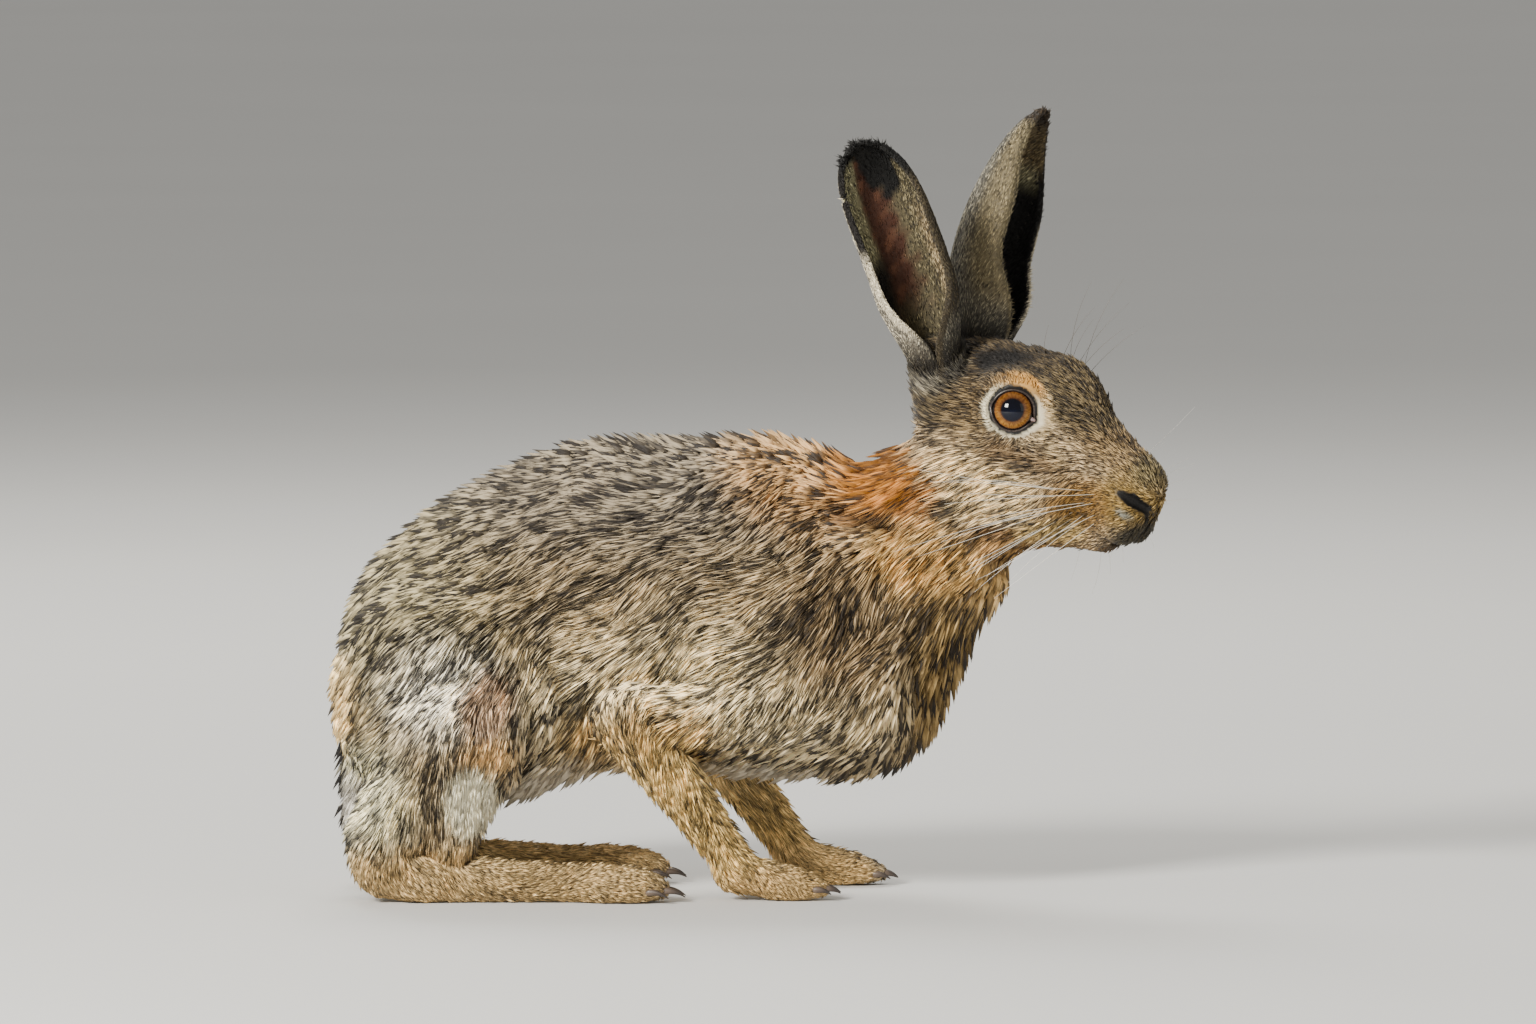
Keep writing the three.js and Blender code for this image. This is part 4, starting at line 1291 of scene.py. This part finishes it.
# %% [markdown]
# ## Grizzled hair as a node group
# Each hair of a hare is banded: dark at the root, buff in the middle, black or cream at the tip.
# The bands could be an image, but a group of nodes keeps them sharp at any size, and skin and hair
# can share it. First come a few helpers, so that a material reads as a list of its steps.

# %% Helpers for nodes


def put(tree, kind, settings=None, **inputs):
    """Adds a node; inputs are named, or i0, i1 ... by number, and take a value or a socket."""
    made = tree.nodes.new(kind)
    for key, value in (settings or {}).items():
        setattr(made, key, value)
    for key, value in inputs.items():
        socket = made.inputs[int(key[1:]) if key[1:].isdigit() else key.replace("_", " ")]
        if isinstance(value, bpy.types.NodeSocket):
            tree.links.new(value, socket)
        else:
            socket.default_value = value
    return made


def calc(tree, operation, a, b=0.0, clamp=False):
    """One arithmetic step on two numbers, kept between 0 and 1 if clamped."""
    settings = {"operation": operation, "use_clamp": clamp}
    return put(tree, "ShaderNodeMath", settings, i0=a, i1=b).outputs[0]


def span(tree, value, low, high, to_low=0.0, to_high=1.0):
    """The value's place between low and high, eased, as a number between to_low and to_high."""
    settings = {"interpolation_type": "SMOOTHSTEP"}
    return put(tree, "ShaderNodeMapRange", settings, Value=value, From_Min=low, From_Max=high,
               To_Min=to_low, To_Max=to_high).outputs[0]


def blend_colour(tree, factor, a, b, how="MIX"):
    """Colour a mixed with b, or multiplied by it, by the factor."""
    settings = {"data_type": "RGBA", "blend_type": how}
    return put(tree, "ShaderNodeMix", settings, i0=factor, i6=a, i7=b).outputs[2]


def noise(tree, scale, detail, vector=None, **more):
    """Fractal noise of a vector, or else of the piece's own coordinates."""
    if vector is None:
        vector = put(tree, "ShaderNodeTexCoord").outputs["Object"]
    return put(tree, "ShaderNodeTexNoise", Vector=vector, Scale=scale, Detail=detail,
               **more).outputs["Fac"]


def new_material(name):
    """A material with a Principled shader; returns material, tree and shader."""
    material = bpy.data.materials.new(name)
    material.use_nodes = True
    tree = material.node_tree
    return material, tree, tree.nodes["Principled BSDF"]


def attribute(tree, name, output="Fac"):
    """A value stored on the piece's vertices."""
    return put(tree, "ShaderNodeAttribute", {"attribute_name": name}).outputs[output]


def new_group(name, inputs, outputs):
    """A node group with named colour and number sockets."""
    group = bpy.data.node_groups.new(name, "ShaderNodeTree")
    for title, kind in inputs:
        group.interface.new_socket(title, in_out="INPUT", socket_type=kind)
    for title, kind in outputs:
        group.interface.new_socket(title, in_out="OUTPUT", socket_type=kind)
    return group, group.nodes.new("NodeGroupInput"), group.nodes.new("NodeGroupOutput")


COLOUR, NUMBER = "NodeSocketColor", "NodeSocketFloat"
print("sockets of a group are", COLOUR, "or", NUMBER)

# %% [markdown]
# ## The agouti group
# Shade below zero blackens a hair's tip and above zero paints it pale: a cream band, made brighter
# still as a painted glint of lit hair. Along runs from root to tip, and Root Dark says how far the
# root is darkened: the hair's own dark base, deepened as painted shade inside the coat. The pale
# colour leans to cream where the base is bright, so that red and brown hair stay warm.

# %% The agouti group
DARK_TIP, PALE_TIP = (0.020, 0.016, 0.014, 1), (0.82, 0.72, 0.53, 1)
# Pale tips: cream plus a painted glint. Root tint: dark base plus painted shade in the coat.
CREAM_AND_GLINT, ROOT_SHADE_TINT = (2.8, 2.75, 2.55, 1), (0.16, 0.13, 0.11, 1)
agouti, given, out = new_group(
    "agouti_bands", [("Base", COLOUR), ("Shade", NUMBER), ("Along", NUMBER), ("Root Dark", NUMBER)],
    [("Colour", COLOUR)])
base, shade, along, root_dark = (given.outputs[i] for i in range(4))
dark = calc(agouti, "MULTIPLY", calc(agouti, "MULTIPLY", shade, -1.3, clamp=True),
            span(agouti, along, 0.2, 0.7, 0.45, 1))
light = calc(agouti, "MULTIPLY", calc(agouti, "MULTIPLY", shade, 1.2, clamp=True),
             span(agouti, along, 0.1, 0.6, 0.3, 1))
colour = blend_colour(agouti, calc(agouti, "MULTIPLY", dark, 0.95), base, DARK_TIP)
pale = blend_colour(agouti, 1.0, base, CREAM_AND_GLINT, "MULTIPLY")
brightness = put(agouti, "ShaderNodeRGBToBW", i0=base).outputs[0]
cream = calc(agouti, "MINIMUM", calc(agouti, "MULTIPLY", brightness, 1.1), 0.25)
pale = blend_colour(agouti, cream, pale, PALE_TIP)
colour = blend_colour(agouti, calc(agouti, "MULTIPLY", light, 0.9), colour, pale)
root_mask = calc(agouti, "MULTIPLY", span(agouti, along, 0.0, 0.62, 1, 0), root_dark)
colour = blend_colour(agouti, root_mask, colour, ROOT_SHADE_TINT, "MULTIPLY")
agouti.links.new(colour, out.inputs[0])
print("agouti group:", len(agouti.nodes), "nodes")

# %% [markdown]
# ## Coat and hide
# Hair scatters light softly and has a faint sheen. The hide under it carries the same markings,
# darkened as painted shade under the hair, with a fine grain of its own where it shows: inside
# the ears, round the lids.

# %% Coat and hide materials


def agouti_colour(tree, shade, along, root_dark):
    """The agouti group over the piece's own mark colour."""
    mark = attribute(tree, "mark", "Color")
    return put(tree, "ShaderNodeGroup", {"node_tree": agouti}, Base=mark, Shade=shade, Along=along,
               Root_Dark=root_dark).outputs["Colour"]


def coat_material(name, root_dark):
    """Hair that is matt at the root and a little glossier towards the tip."""
    material, tree, shader = new_material(name)
    shade, along = attribute(tree, "shade"), attribute(tree, "along")
    tree.links.new(agouti_colour(tree, shade, along, root_dark), shader.inputs["Base Color"])
    tree.links.new(span(tree, along, 0, 1, 0.85, 0.55), shader.inputs["Roughness"])
    shader.inputs["Specular IOR Level"].default_value = 0.3
    shader.inputs["Sheen Weight"].default_value = 0.05
    return material


long_coat = coat_material("coat_hair", 0.85)
short_coat = coat_material("short_hair", 0.6)

hide, tree, shader = new_material("hide")
fleck = noise(tree, 900.0, 3.0)
grain = noise(tree, 1600.0, 2.0)
mixed = calc(tree, "MULTIPLY", calc(tree, "SUBTRACT", fleck, 0.5), 3.0)
fleck_shade = calc(tree, "MULTIPLY", mixed, attribute(tree, "pepper"))
bump_map = put(tree, "ShaderNodeBump", Height=grain, Strength=0.35, Distance=0.0004)
# The hide's markings are darkened through the agouti group: painted shade under the coat.
tree.links.new(agouti_colour(tree, fleck_shade, 0.3, 0.8), shader.inputs["Base Color"])
tree.links.new(bump_map.outputs[0], shader.inputs["Normal"])
tree.links.new(span(tree, fleck, 0.3, 0.7, 0.5, 0.8), shader.inputs["Roughness"])
shader.inputs["Specular IOR Level"].default_value = 0.35
print("materials:", [material.name for material in (long_coat, short_coat, hide)])

# %% [markdown]
# ## The one skin
# All flesh from nose to tail is a single mesh, so no seam shows anywhere, and it stands for every
# solid of flesh in the frame.

# %% Skin piece
FLESH = ["trunk", "neck", "head", "tail"]
FLESH += [f"{part}_{side}" for side in ("right", "left")
          for part in ("hind_leg", "hind_foot", "fore_leg", "fore_foot", "ear")]
skin_piece = add_piece("skin", skin_points, skin_quads, hide, "coat",
                       mark=skin_mark, pepper=skin_pepper)
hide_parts(*FLESH)
print("skin stands for", len(FLESH), "solids")

# %% [markdown]
# ## The coat
# A tuft belongs to the region of the mass it stands on. Each region becomes one piece on the right
# and one on the left, all well under the size limit.

# %% Regions of the coat
HIND_START = len(TRUNK)
FORE_START = HIND_START + 2 * len(HIND_LIMB)
FACE_FROM = 8
on_body = (label < HEAD_START) & (ear_side == 0)
on_head = (label >= HEAD_START) & (ear_side == 0)
in_face = head_place[0] >= FACE_FROM
thighs = np.isin(label, [HIND_START, HIND_START + len(HIND_LIMB)])
shoulders = np.isin(label, [FORE_START, FORE_START + len(FORE_LIMB)])
hind = (label >= HIND_START) & (label < FORE_START) & ~thighs
fore = (label >= FORE_START) & (label < HEAD_START) & ~shoulders
REGIONS = [
    ("rump", on_body & (thighs | (label == 0)), long_coat, "coat"),
    ("loin", on_body & (label == 1), long_coat, "coat"),
    ("ribs", on_body & (shoulders | (label == 2)), long_coat, "coat"),
    ("chest", on_body & (label == 3), long_coat, "coat"),
    ("neck", on_body & (label == 4), long_coat, "coat_rufous"),
    ("tail", on_body & (label == 5), long_coat, "coat_pale"),
    ("hind_legs", on_body & hind, long_coat, "coat_pale"),
    ("fore_legs", on_body & fore, long_coat, "coat_pale"),
    ("crown", on_head & ~in_face, short_coat, "coat"),
    ("face", on_head & in_face, short_coat, "coat"),
]
print("tufts on the body, the head and the ears:",
      int(on_body.sum()), int(on_head.sum()), int((ear_side > 0).sum()))

# %% [markdown]
# ## Right and left
# The body is halved by its own middle plane, and the turned head by the plane between the eyes.

# %% Coat pieces
counts = {}
for name, mask, material, slot in REGIONS:
    middle_line = head_place[1] if name in ("crown", "face") else root[:, 1]
    for side, half in (("right", middle_line < 0), ("left", middle_line >= 0)):
        key = f"{name}_{side}"
        counts[key] = add_tufts(f"coat_{key}", mask & half, material, slot)
for number, side in ((1, "right"), (2, "left")):
    key = f"ear_{side}"
    counts[key] = add_tufts(f"coat_{key}", ear_side == number, short_coat, "ear_coat", ear=number)
print("tufts per piece:", counts)
print("triangles in the coat:", len(TUFT_FACES) * sum(counts.values()),
      "largest piece:", len(TUFT_FACES) * max(counts.values()))

# %% [markdown]
# ## Eyes
# The eye is a ball with a slightly bulging cornea. Under a clear wet layer lies an amber iris with
# fine spokes, darkened at the top by a painted shadow of the lid, and a large black pupil with a
# painted blue reflection. The pattern follows two attributes: the angle off the eye's axis, and
# the direction round it.

# %% Eye material
eye_look, tree, shader = new_material("hare_eye")
off_axis = attribute(tree, "off_axis")
spoke = attribute(tree, "spoke", "Vector")
streak = noise(tree, 11.0, 4.0, spoke, Roughness=0.65)
wavy = calc(tree, "MULTIPLY", calc(tree, "SUBTRACT", streak, 0.5), 0.02)
ramp = put(tree, "ShaderNodeValToRGB", Fac=calc(tree, "ADD", off_axis, wavy))
# Share of a quarter turn off the axis, and colour: pupil, its soft edge, iris, dark outer edge.
# The blue in the pupil's colour is a painted reflection.
IRIS = [(0.0, (0.002, 0.004, 0.016)), (0.272, (0.002, 0.003, 0.012)), (0.292, (0.04, 0.016, 0.008)),
        (0.325, (0.19, 0.078, 0.018)), (0.42, (0.36, 0.172, 0.034)), (0.505, (0.29, 0.125, 0.028)),
        (0.535, (0.05, 0.026, 0.016)), (0.565, (0.008, 0.007, 0.008))]
STREAK_TINT, SHADOW_TINT = (0.30, 0.17, 0.10, 1), (0.46, 0.38, 0.36, 1)
while len(ramp.color_ramp.elements) < len(IRIS):
    ramp.color_ramp.elements.new(0.5)
for element, (position, colour) in zip(ramp.color_ramp.elements, IRIS):
    element.position, element.color = position, (*colour, 1)
streaked = span(tree, streak, 0.40, 0.66, 0.0, 0.75)
# The upper iris is darkened towards a pinkish brown: a painted shadow of the upper lid.
height = put(tree, "ShaderNodeSeparateXYZ", i0=spoke).outputs["Y"]
lid_shadow_share = span(tree, height, -0.9, 0.7, 0.0, 0.9)
spoked = blend_colour(tree, streaked, ramp.outputs["Color"], STREAK_TINT, "MULTIPLY")
spoked = blend_colour(tree, lid_shadow_share, spoked, SHADOW_TINT, "MULTIPLY")
tree.links.new(spoked, shader.inputs["Base Color"])
for name, value in (("Roughness", 0.25), ("Coat Weight", 1.0), ("Coat Roughness", 0.015),
                    ("Coat IOR", 1.38), ("Specular IOR Level", 0.0)):
    shader.inputs[name].default_value = value
print("colours from pupil to rim:", len(ramp.color_ramp.elements))

# %% [markdown]
# ## Eyeballs
# Each is a grid of rings and spokes with a pole in front and a pole behind. The same grid of angles
# serves any small ball.

# %% Eyeballs
CORNEA = 0.45
CORNEA_EDGE = (math.radians(54), math.radians(20))


def ball_angles(rings, spokes):
    """Angle off the axis for each ring between the poles, and angle round it for each spoke."""
    theta = np.linspace(0, math.pi, rings + 1)[1:-1, None]
    return theta, np.linspace(0, 2 * math.pi, spokes, endpoint=False)[None]


def eyeball(side, rings=56, spokes=84):
    """Ball round its own middle: out cos(theta) + round sin(theta), times a radius that the
    cornea raises in front. Gives points, faces, and the two attributes of the iris."""
    theta, psi = ball_angles(rings, spokes)
    out = eye_axes(side)[0]
    reach = EYE_RADIUS + CORNEA * smooth(*CORNEA_EDGE, theta)
    ring = np.cos(theta)[..., None] * out + np.sin(theta)[..., None] * round_eye(side, psi)
    ring = (reach[..., None] * ring).reshape(-1, 3)
    points = np.concatenate([[out * (EYE_RADIUS + CORNEA)], ring, [-out * EYE_RADIUS]])
    theta_all = np.concatenate([[0], np.repeat(theta[:, 0], spokes), [math.pi]])
    psi_all = np.concatenate([[0], np.tile(psi[0], rings - 1), [0]])
    spoke = np.stack([np.cos(psi_all), np.sin(psi_all), 0.5 * theta_all], 1)
    return points, closed_rows(rings - 1, spokes), theta_all / (math.pi / 2), spoke


def closed_rows(rows, count):
    """Triangles of rows of points closed round, with a pole point before and after them."""
    i, j = np.meshgrid(np.arange(rows - 1), np.arange(count), indexing="ij")
    a, b = 1 + i * count + j, 1 + i * count + (j + 1) % count
    sides = np.stack([a, b + count, b, a, a + count, b + count], -1).reshape(-1, 3)
    k = np.arange(count)
    first = np.stack([np.zeros(count, int), 1 + k, 1 + (k + 1) % count], 1)
    last = 1 + (rows - 1) * count
    final = np.stack([np.full(count, last + count), last + (k + 1) % count, last + k], 1)
    return np.concatenate([first, sides, final])


def facing_out(points, faces):
    """Faces turned round if the volume they enclose, the sum of (a x b) . c, comes out negative."""
    a, b, c = (points[faces[:, i]] for i in range(3))
    return faces if (np.cross(a, b) * c).sum() > 0 else faces[:, ::-1]


SIDES = ((-1, "right"), (1, "left"))
for side, name in SIDES:
    points, faces, off, spoke_values = eyeball(side)
    piece = add_piece(f"eyeball_{name}", from_head(points + eye_middle(side)),
                      facing_out(points, faces), eye_look, "eye", off_axis=off, spoke=spoke_values)
    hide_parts(f"eye_{name}")
print("eyeball faces:", len(faces))

# %% [markdown]
# ## Lid edges
# The naked edge of a lid is a dark wet roll that touches the eyeball all round, drawn out to a
# small pink-grey bead in the front corner. Both are mottled, so one function makes both finishes.

# %% Wet skin materials


def wet_material(name, scale, start, low, high, roughness, film=0.0):
    """Naked skin between two mottled colours, under a wet film."""
    material, tree, shader = new_material(name)
    mottle = span(tree, noise(tree, scale, 2.0), start, 0.7)
    tree.links.new(blend_colour(tree, mottle, low, high), shader.inputs["Base Color"])
    shader.inputs["Roughness"].default_value = roughness
    shader.inputs["Coat Weight"].default_value = film
    return material


wet_edge = wet_material("wet_lid_edge", 1500.0, 0.35, (0.016, 0.011, 0.009, 1),
                        (0.05, 0.034, 0.028, 1), 0.3)
tear_skin = wet_material("tear_bead", 1200.0, 0.3, (0.16, 0.10, 0.10, 1), (0.34, 0.24, 0.23, 1),
                         0.15, film=0.8)
print("wet materials:", wet_edge.name, tear_skin.name)

# %% [markdown]
# ## Rims and beads
# The rim is a round profile carried along the same opening that cuts the lids, so it always closes
# the gap between skin and eyeball. The bead is a ball stretched along three axes.

# %% Lid rims and tear beads
RIM_RADIUS = 0.55
BEAD_INSET, BEAD_SIZES = math.radians(6.5), (1.7, 0.95, 0.8)


def lid_rim(side, count=120, sides=12):
    """A ring of circles, each on the lid's edge, where the cone of the opening leaves the ball."""
    psi = np.linspace(0, 2 * math.pi, count, endpoint=False)
    cos, sin = np.cos(lid_angle(psi))[:, None], np.sin(lid_angle(psi))[:, None]
    out, around = eye_axes(side)[0], round_eye(side, psi)
    outward, across = cos * out + sin * around, cos * around - sin * out
    turn = np.linspace(0, 2 * math.pi, sides, endpoint=False)[None, :, None]
    circle = outward[:, None] * np.cos(turn) + across[:, None] * np.sin(turn)
    points = outward[:, None] * (EYE_RADIUS + CORNEA) + RIM_RADIUS * circle
    i, j = np.meshgrid(np.arange(count), np.arange(sides), indexing="ij")
    here, ahead = i * sides, (i + 1) % count * sides
    beside = (j + 1) % sides
    quads = np.stack([here + j, ahead + j, ahead + beside, here + beside], -1).reshape(-1, 4)
    return points.reshape(-1, 3), quads


def small_ball(centre, axes, rings=10, spokes=16):
    """A ball stretched along three given half axes."""
    theta, psi = ball_angles(rings, spokes)
    ring = np.stack(np.broadcast_arrays(np.sin(theta) * np.cos(psi), np.sin(theta) * np.sin(psi),
                                        np.cos(theta)), -1).reshape(-1, 3)
    points = np.concatenate([[[0, 0, 1]], ring, [[0, 0, -1]]]) @ np.array(axes)
    return points + centre, facing_out(points, closed_rows(rings - 1, spokes))


for side, name in SIDES:
    points, quads = lid_rim(side)
    add_piece(f"lid_edge_{name}", from_head(points + eye_middle(side)), facing_out(points, quads),
              wet_edge, "eye")
    corner = np.array(FRONT_CORNER)
    theta, out, around = lid_angle(corner) - BEAD_INSET, eye_axes(side)[0], round_eye(side, corner)
    spot = (EYE_RADIUS + 0.1) * (math.cos(theta) * out + math.sin(theta) * around)
    axes = np.array([around, np.cross(out, around), out]) * np.array(BEAD_SIZES)[:, None]
    points, faces = small_ball(spot + eye_middle(side), axes)
    add_piece(f"tear_bead_{name}", from_head(points), faces, tear_skin, "eye")
print("lid edge faces:", len(quads))

# %% [markdown]
# ## Tapered rods
# Whiskers, brow hairs and claws are the same kind of shape: a shrinking ring carried along a bent
# path and closed to a point at both ends. Only length, thickness and bend differ.

# %% Tapered rods


def rods(paths, radii, sides):
    """Closed rods: paths (n, m, 3) are their middle lines, radii (n, m) their thickness."""
    n, m, _ = paths.shape
    along = unit(np.gradient(paths, axis=1))
    side = unit(np.cross(along, [0.31, 0.22, 0.92]))
    up = np.cross(side, along)
    turn = np.linspace(0, 2 * math.pi, sides, endpoint=False)[:, None]
    ring = side[:, :, None] * np.cos(turn) + up[:, :, None] * np.sin(turn)
    rings = (paths[:, :, None] + radii[:, :, None, None] * ring).reshape(n, -1, 3)
    tip = paths[:, -1:] + along[:, -1:] * radii[:, -1:, None]
    points = np.concatenate([paths[:, :1] - along[:, :1] * radii[:, :1, None], rings, tip], 1)
    faces = facing_out(points[0] - points[0].mean(0), closed_rows(m, sides))
    faces = (faces[None] + (m * sides + 2) * np.arange(n)[:, None, None]).reshape(-1, 3)
    return points.reshape(-1, 3), faces


def bent(start, first, last, length, count):
    """Paths that leave in one direction and end in another:
    start + L (first (t - t^2 / 2) + last t^2 / 2)."""
    t = np.linspace(0, 1, count)[None, :, None]
    length = np.asarray(length, float).reshape(-1, 1, 1)
    return start[:, None] + length * (first[:, None] * (t - t * t / 2) + last[:, None] * t * t / 2)


def add_rods(name, paths, radii, sides, material, slot):
    """One piece from rods that share their radii; along runs from 0 at the root to 1 at the tip."""
    points, faces = rods(paths, radii * np.ones((len(paths), 1)), sides)
    rings = np.repeat(np.linspace(0, 1, paths.shape[1]), sides)
    along = np.tile(np.concatenate([[0], rings, [1]]), len(paths))
    add_piece(name, points, faces, material, slot, along=along)


def columns(*values):
    """Numbers and rows of numbers, side by side as the columns of one table."""
    return np.stack(np.broadcast_arrays(*values), 1).astype(float)


def rod_material(name, root, tip, roughness):
    """Keratin: colour runs along the rod, with fine lengthways grain."""
    material, tree, shader = new_material(name)
    grain = noise(tree, 700.0, 2.0)
    run = calc(tree, "ADD", attribute(tree, "along"), calc(tree, "MULTIPLY", grain, 0.3))
    colour = blend_colour(tree, span(tree, run, 0.1, 0.9), root, tip)
    gloss = span(tree, grain, 0.3, 0.7, roughness, roughness + 0.15)
    tree.links.new(colour, shader.inputs["Base Color"])
    tree.links.new(gloss, shader.inputs["Roughness"])
    return material


pale_whisker = rod_material("pale_whisker", (0.70, 0.63, 0.50, 1), (0.86, 0.82, 0.74, 1), 0.35)
dark_whisker = rod_material("dark_whisker", (0.03, 0.025, 0.02, 1), (0.12, 0.10, 0.08, 1), 0.4)
claw_horn = rod_material("claw_horn", (0.14, 0.10, 0.075, 1), (0.035, 0.026, 0.022, 1), 0.35)
print("rod materials:", pale_whisker.name, dark_whisker.name, claw_horn.name)

# %% [markdown]
# ## Whiskers and brow hairs
# Whiskers stand in rows on the lip pads: the upper ones reach outwards, the lower ones sweep back
# under the cheek. Their roots are slid onto the skin, and their tips stay behind a plane a little
# way before the nose. A few long dark hairs stand on each brow.

# %% Whiskers
WHISKERS, WHISKER_ROWS = 18, 4
WHISKER_REACH = 248
WHISKER_LENGTHS = (53, 97)
BROW_LENGTHS = [46, 34, 38, 26]


def taper(thick, count):
    """Radii that shrink in a straight line to 0.3 of the first."""
    return thick * (1 - 0.7 * np.linspace(0, 1, count))


def onto_skin(points):
    """Points slid along the slope of the skin's field until they lie on it."""
    return onto_surface(skin, points, 4)


def whiskers(side):
    """Rows of whiskers on one lip pad: the row sets direction and length."""
    local = np.random.default_rng(40 + side)
    row = np.arange(WHISKERS) % WHISKER_ROWS
    place = (np.arange(WHISKERS) // WHISKER_ROWS) / 5
    start = columns(35 - 19 * place - 1.0 * row, side * 14, -34.5 - 4.6 * row)
    start += local.normal(0, 0.6, start.shape)
    if side < 0:
        first = columns(-0.45 - 0.06 * row, -0.70 + 0.09 * row, 0.10 - 0.2 * row)
        last = columns(-0.95 + 0.07 * row, -0.22, -0.02 - 0.22 * row)
    else:
        first = columns(0.34 - 0.16 * row - 0.2 * place, 0.95, 0.16 - 0.2 * row)
        last = columns(0.22 - 0.26 * row - 0.3 * place, 0.9, 0.20 - 0.3 * row)
    first += local.normal(0, 0.10, first.shape)
    last += local.normal(0, 0.10, last.shape)
    length = local.uniform(*WHISKER_LENGTHS, WHISKERS) * (1 - 0.25 * (row == WHISKER_ROWS - 1))
    start, first, last = from_head(start), turn_out(unit(first)), turn_out(unit(last))
    run = length * (first + last)[:, 0] / 2
    length *= np.minimum(1, (WHISKER_REACH - start[:, 0]) / np.maximum(run, 1))
    return bent(onto_skin(start), first, last, length, 13)


def brow_hairs(side):
    """Four hairs over one eye, bending forwards."""
    start = np.array([[22, 9, 22], [25, 8, 20], [17, 12, 23], [12, 15, 22]]) * [1.0, side, 1.0]
    first = [[0.10, 0.25, 1], [0.8, 0.2, 1], [0.45, 0.3, 1], [0.0, 0.5, 1]]
    first = unit(np.array(first) * [1, side, 1])
    last = turn_out(unit(first + [0.5, 0, -0.1]))
    return bent(onto_skin(from_head(start)), turn_out(first), last, BROW_LENGTHS, 9)


for side, name in SIDES:
    add_rods(f"whiskers_{name}", whiskers(side), taper(0.14, 13), 5, pale_whisker, "coat_pale")
    add_rods(f"brow_hairs_{name}", brow_hairs(side), taper(0.13, 9), 5, dark_whisker, "coat")
print("on each side, whiskers:", WHISKERS, "brow hairs:", len(BROW_LENGTHS))

# %% [markdown]
# ## Claws
# Every foot shows four claws in a fan. They are short and thick, bend down, and half hide in hair.

# %% Claws
CLAW_HEIGHT, CLAW_RADIUS, CLAW_POINT = 5.2, 1.5, 0.18
# Foot, place of its toes, how far left each claw stands from there, and length of the claws.
CLAW_ROWS = [
    ("hind_right", (11.5, -47.5), (-9.5, -3.4, 3.0, 9.0), 11),
    ("hind_left", (11.5, 47.5), (-9.0, -3.0, 3.4, 9.5), 11),
    ("fore_right", (82, -37), (-7.2, -2.6, 2.2, 6.6), 8.5),
    ("fore_left", (108, 37), (-6.6, -2.2, 2.6, 7.2), 8.5),
]
for name, (x, y), offsets, claw_length in CLAW_ROWS:
    offsets = np.array(offsets)
    start = columns(x - 0.09 * offsets ** 2, y + offsets, CLAW_HEIGHT)
    first, last = (unit(columns(1.0, 0.03 * offsets, drop)) for drop in (0.15, -0.75))
    paths = bent(start, first, last, np.full(len(offsets), claw_length), 9)
    radii = CLAW_RADIUS * (1 - np.linspace(0, 1, 9) ** 1.4) + CLAW_POINT
    add_rods(f"claws_{name}", paths, radii, 10, claw_horn, "coat_pale")
print("claws on each foot:", len(offsets))

# %% [markdown]
# ## Floor
# The animal stands on a plain pale floor, large enough that its edge is never seen.

# %% Floor
FLOOR_REACH = 60
floor_look, tree, shader = new_material("pale_floor")
cloud = noise(tree, 2.0, 2.0)
pale_grey = blend_colour(tree, cloud, (0.70, 0.70, 0.69, 1), (0.74, 0.74, 0.73, 1))
tree.links.new(pale_grey, shader.inputs["Base Color"])
shader.inputs["Roughness"].default_value = 0.9
mesh = bpy.data.meshes.new("floor")
square = [(FLOOR_REACH * x, FLOOR_REACH * y, 0) for x, y in ((-1, -1), (1, -1), (1, 1), (-1, 1))]
mesh.from_pydata(square, [], [(0, 1, 2, 3)])
mesh.materials.append(floor_look)
floor = add_object("floor", mesh)
print("floor, m across:", 2 * FLOOR_REACH)

# %% [markdown]
# ## Lamps
# One broad key lamp stands on the camera's side to the left, a weak fill to the right and a third
# lamp behind, all slightly warm, in an evenly bright room.

# %% Lamps and room
AIM = np.array([0.0085, 0.0, 0.1697])
LAMP_COLOUR, ROOM_COLOUR, ROOM_LIGHT = (1.0, 0.97, 0.90), (1.0, 0.98, 0.93, 1), 0.42
# Name, place in m, size in m, power in W.
LIGHTS = [
    ("key", (-1.7, -2.4, 1.5), 0.8, 190),
    ("fill", (2.2, -1.8, 1.0), 1.8, 10),
    ("back", (-0.4, 1.8, 2.0), 1.4, 50),
]
for name, spot, lamp_size, power in LIGHTS:
    lamp = bpy.data.lights.new(name, "AREA")
    lamp.size, lamp.energy, lamp.color = lamp_size, power, LAMP_COLOUR
    stand = add_object(name, lamp)
    back = unit(np.array(spot) - AIM)
    stand.location = spot
    stand.rotation_euler = (math.acos(back[2]), 0, math.atan2(back[1], back[0]) + math.pi / 2)
world = bpy.context.scene.world or bpy.data.worlds.new("soft_world")
bpy.context.scene.world = world
world.use_nodes = True
room = world.node_tree.nodes["Background"]
room.inputs["Color"].default_value = ROOM_COLOUR
room.inputs["Strength"].default_value = ROOM_LIGHT
print("lamps:", [row[0] for row in LIGHTS])

# %% [markdown]
# ## Camera
# It looks across the animal from its right side, four degrees down and from far off, as a long lens
# does. The lens follows from the distance and from the width that has to fit in.

# %% Camera
ELEVATION, DISTANCE = math.radians(4), 7.0
FRAME_WIDTH, SENSOR_WIDTH = 0.6827, 36
lens = bpy.data.cameras.new("camera")
lens.sensor_width = SENSOR_WIDTH
lens.lens = SENSOR_WIDTH * DISTANCE / FRAME_WIDTH
camera = add_object("camera", lens)
camera.location = AIM + DISTANCE * np.array([0, -math.cos(ELEVATION), math.sin(ELEVATION)])
camera.rotation_euler = (math.pi / 2 - ELEVATION, 0, 0)
bpy.context.scene.camera = camera
print("lens in mm:", round(lens.lens, 1))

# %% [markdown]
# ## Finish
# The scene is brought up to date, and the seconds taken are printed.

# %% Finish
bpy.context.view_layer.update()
print("seconds:", round(time.time() - started, 1))
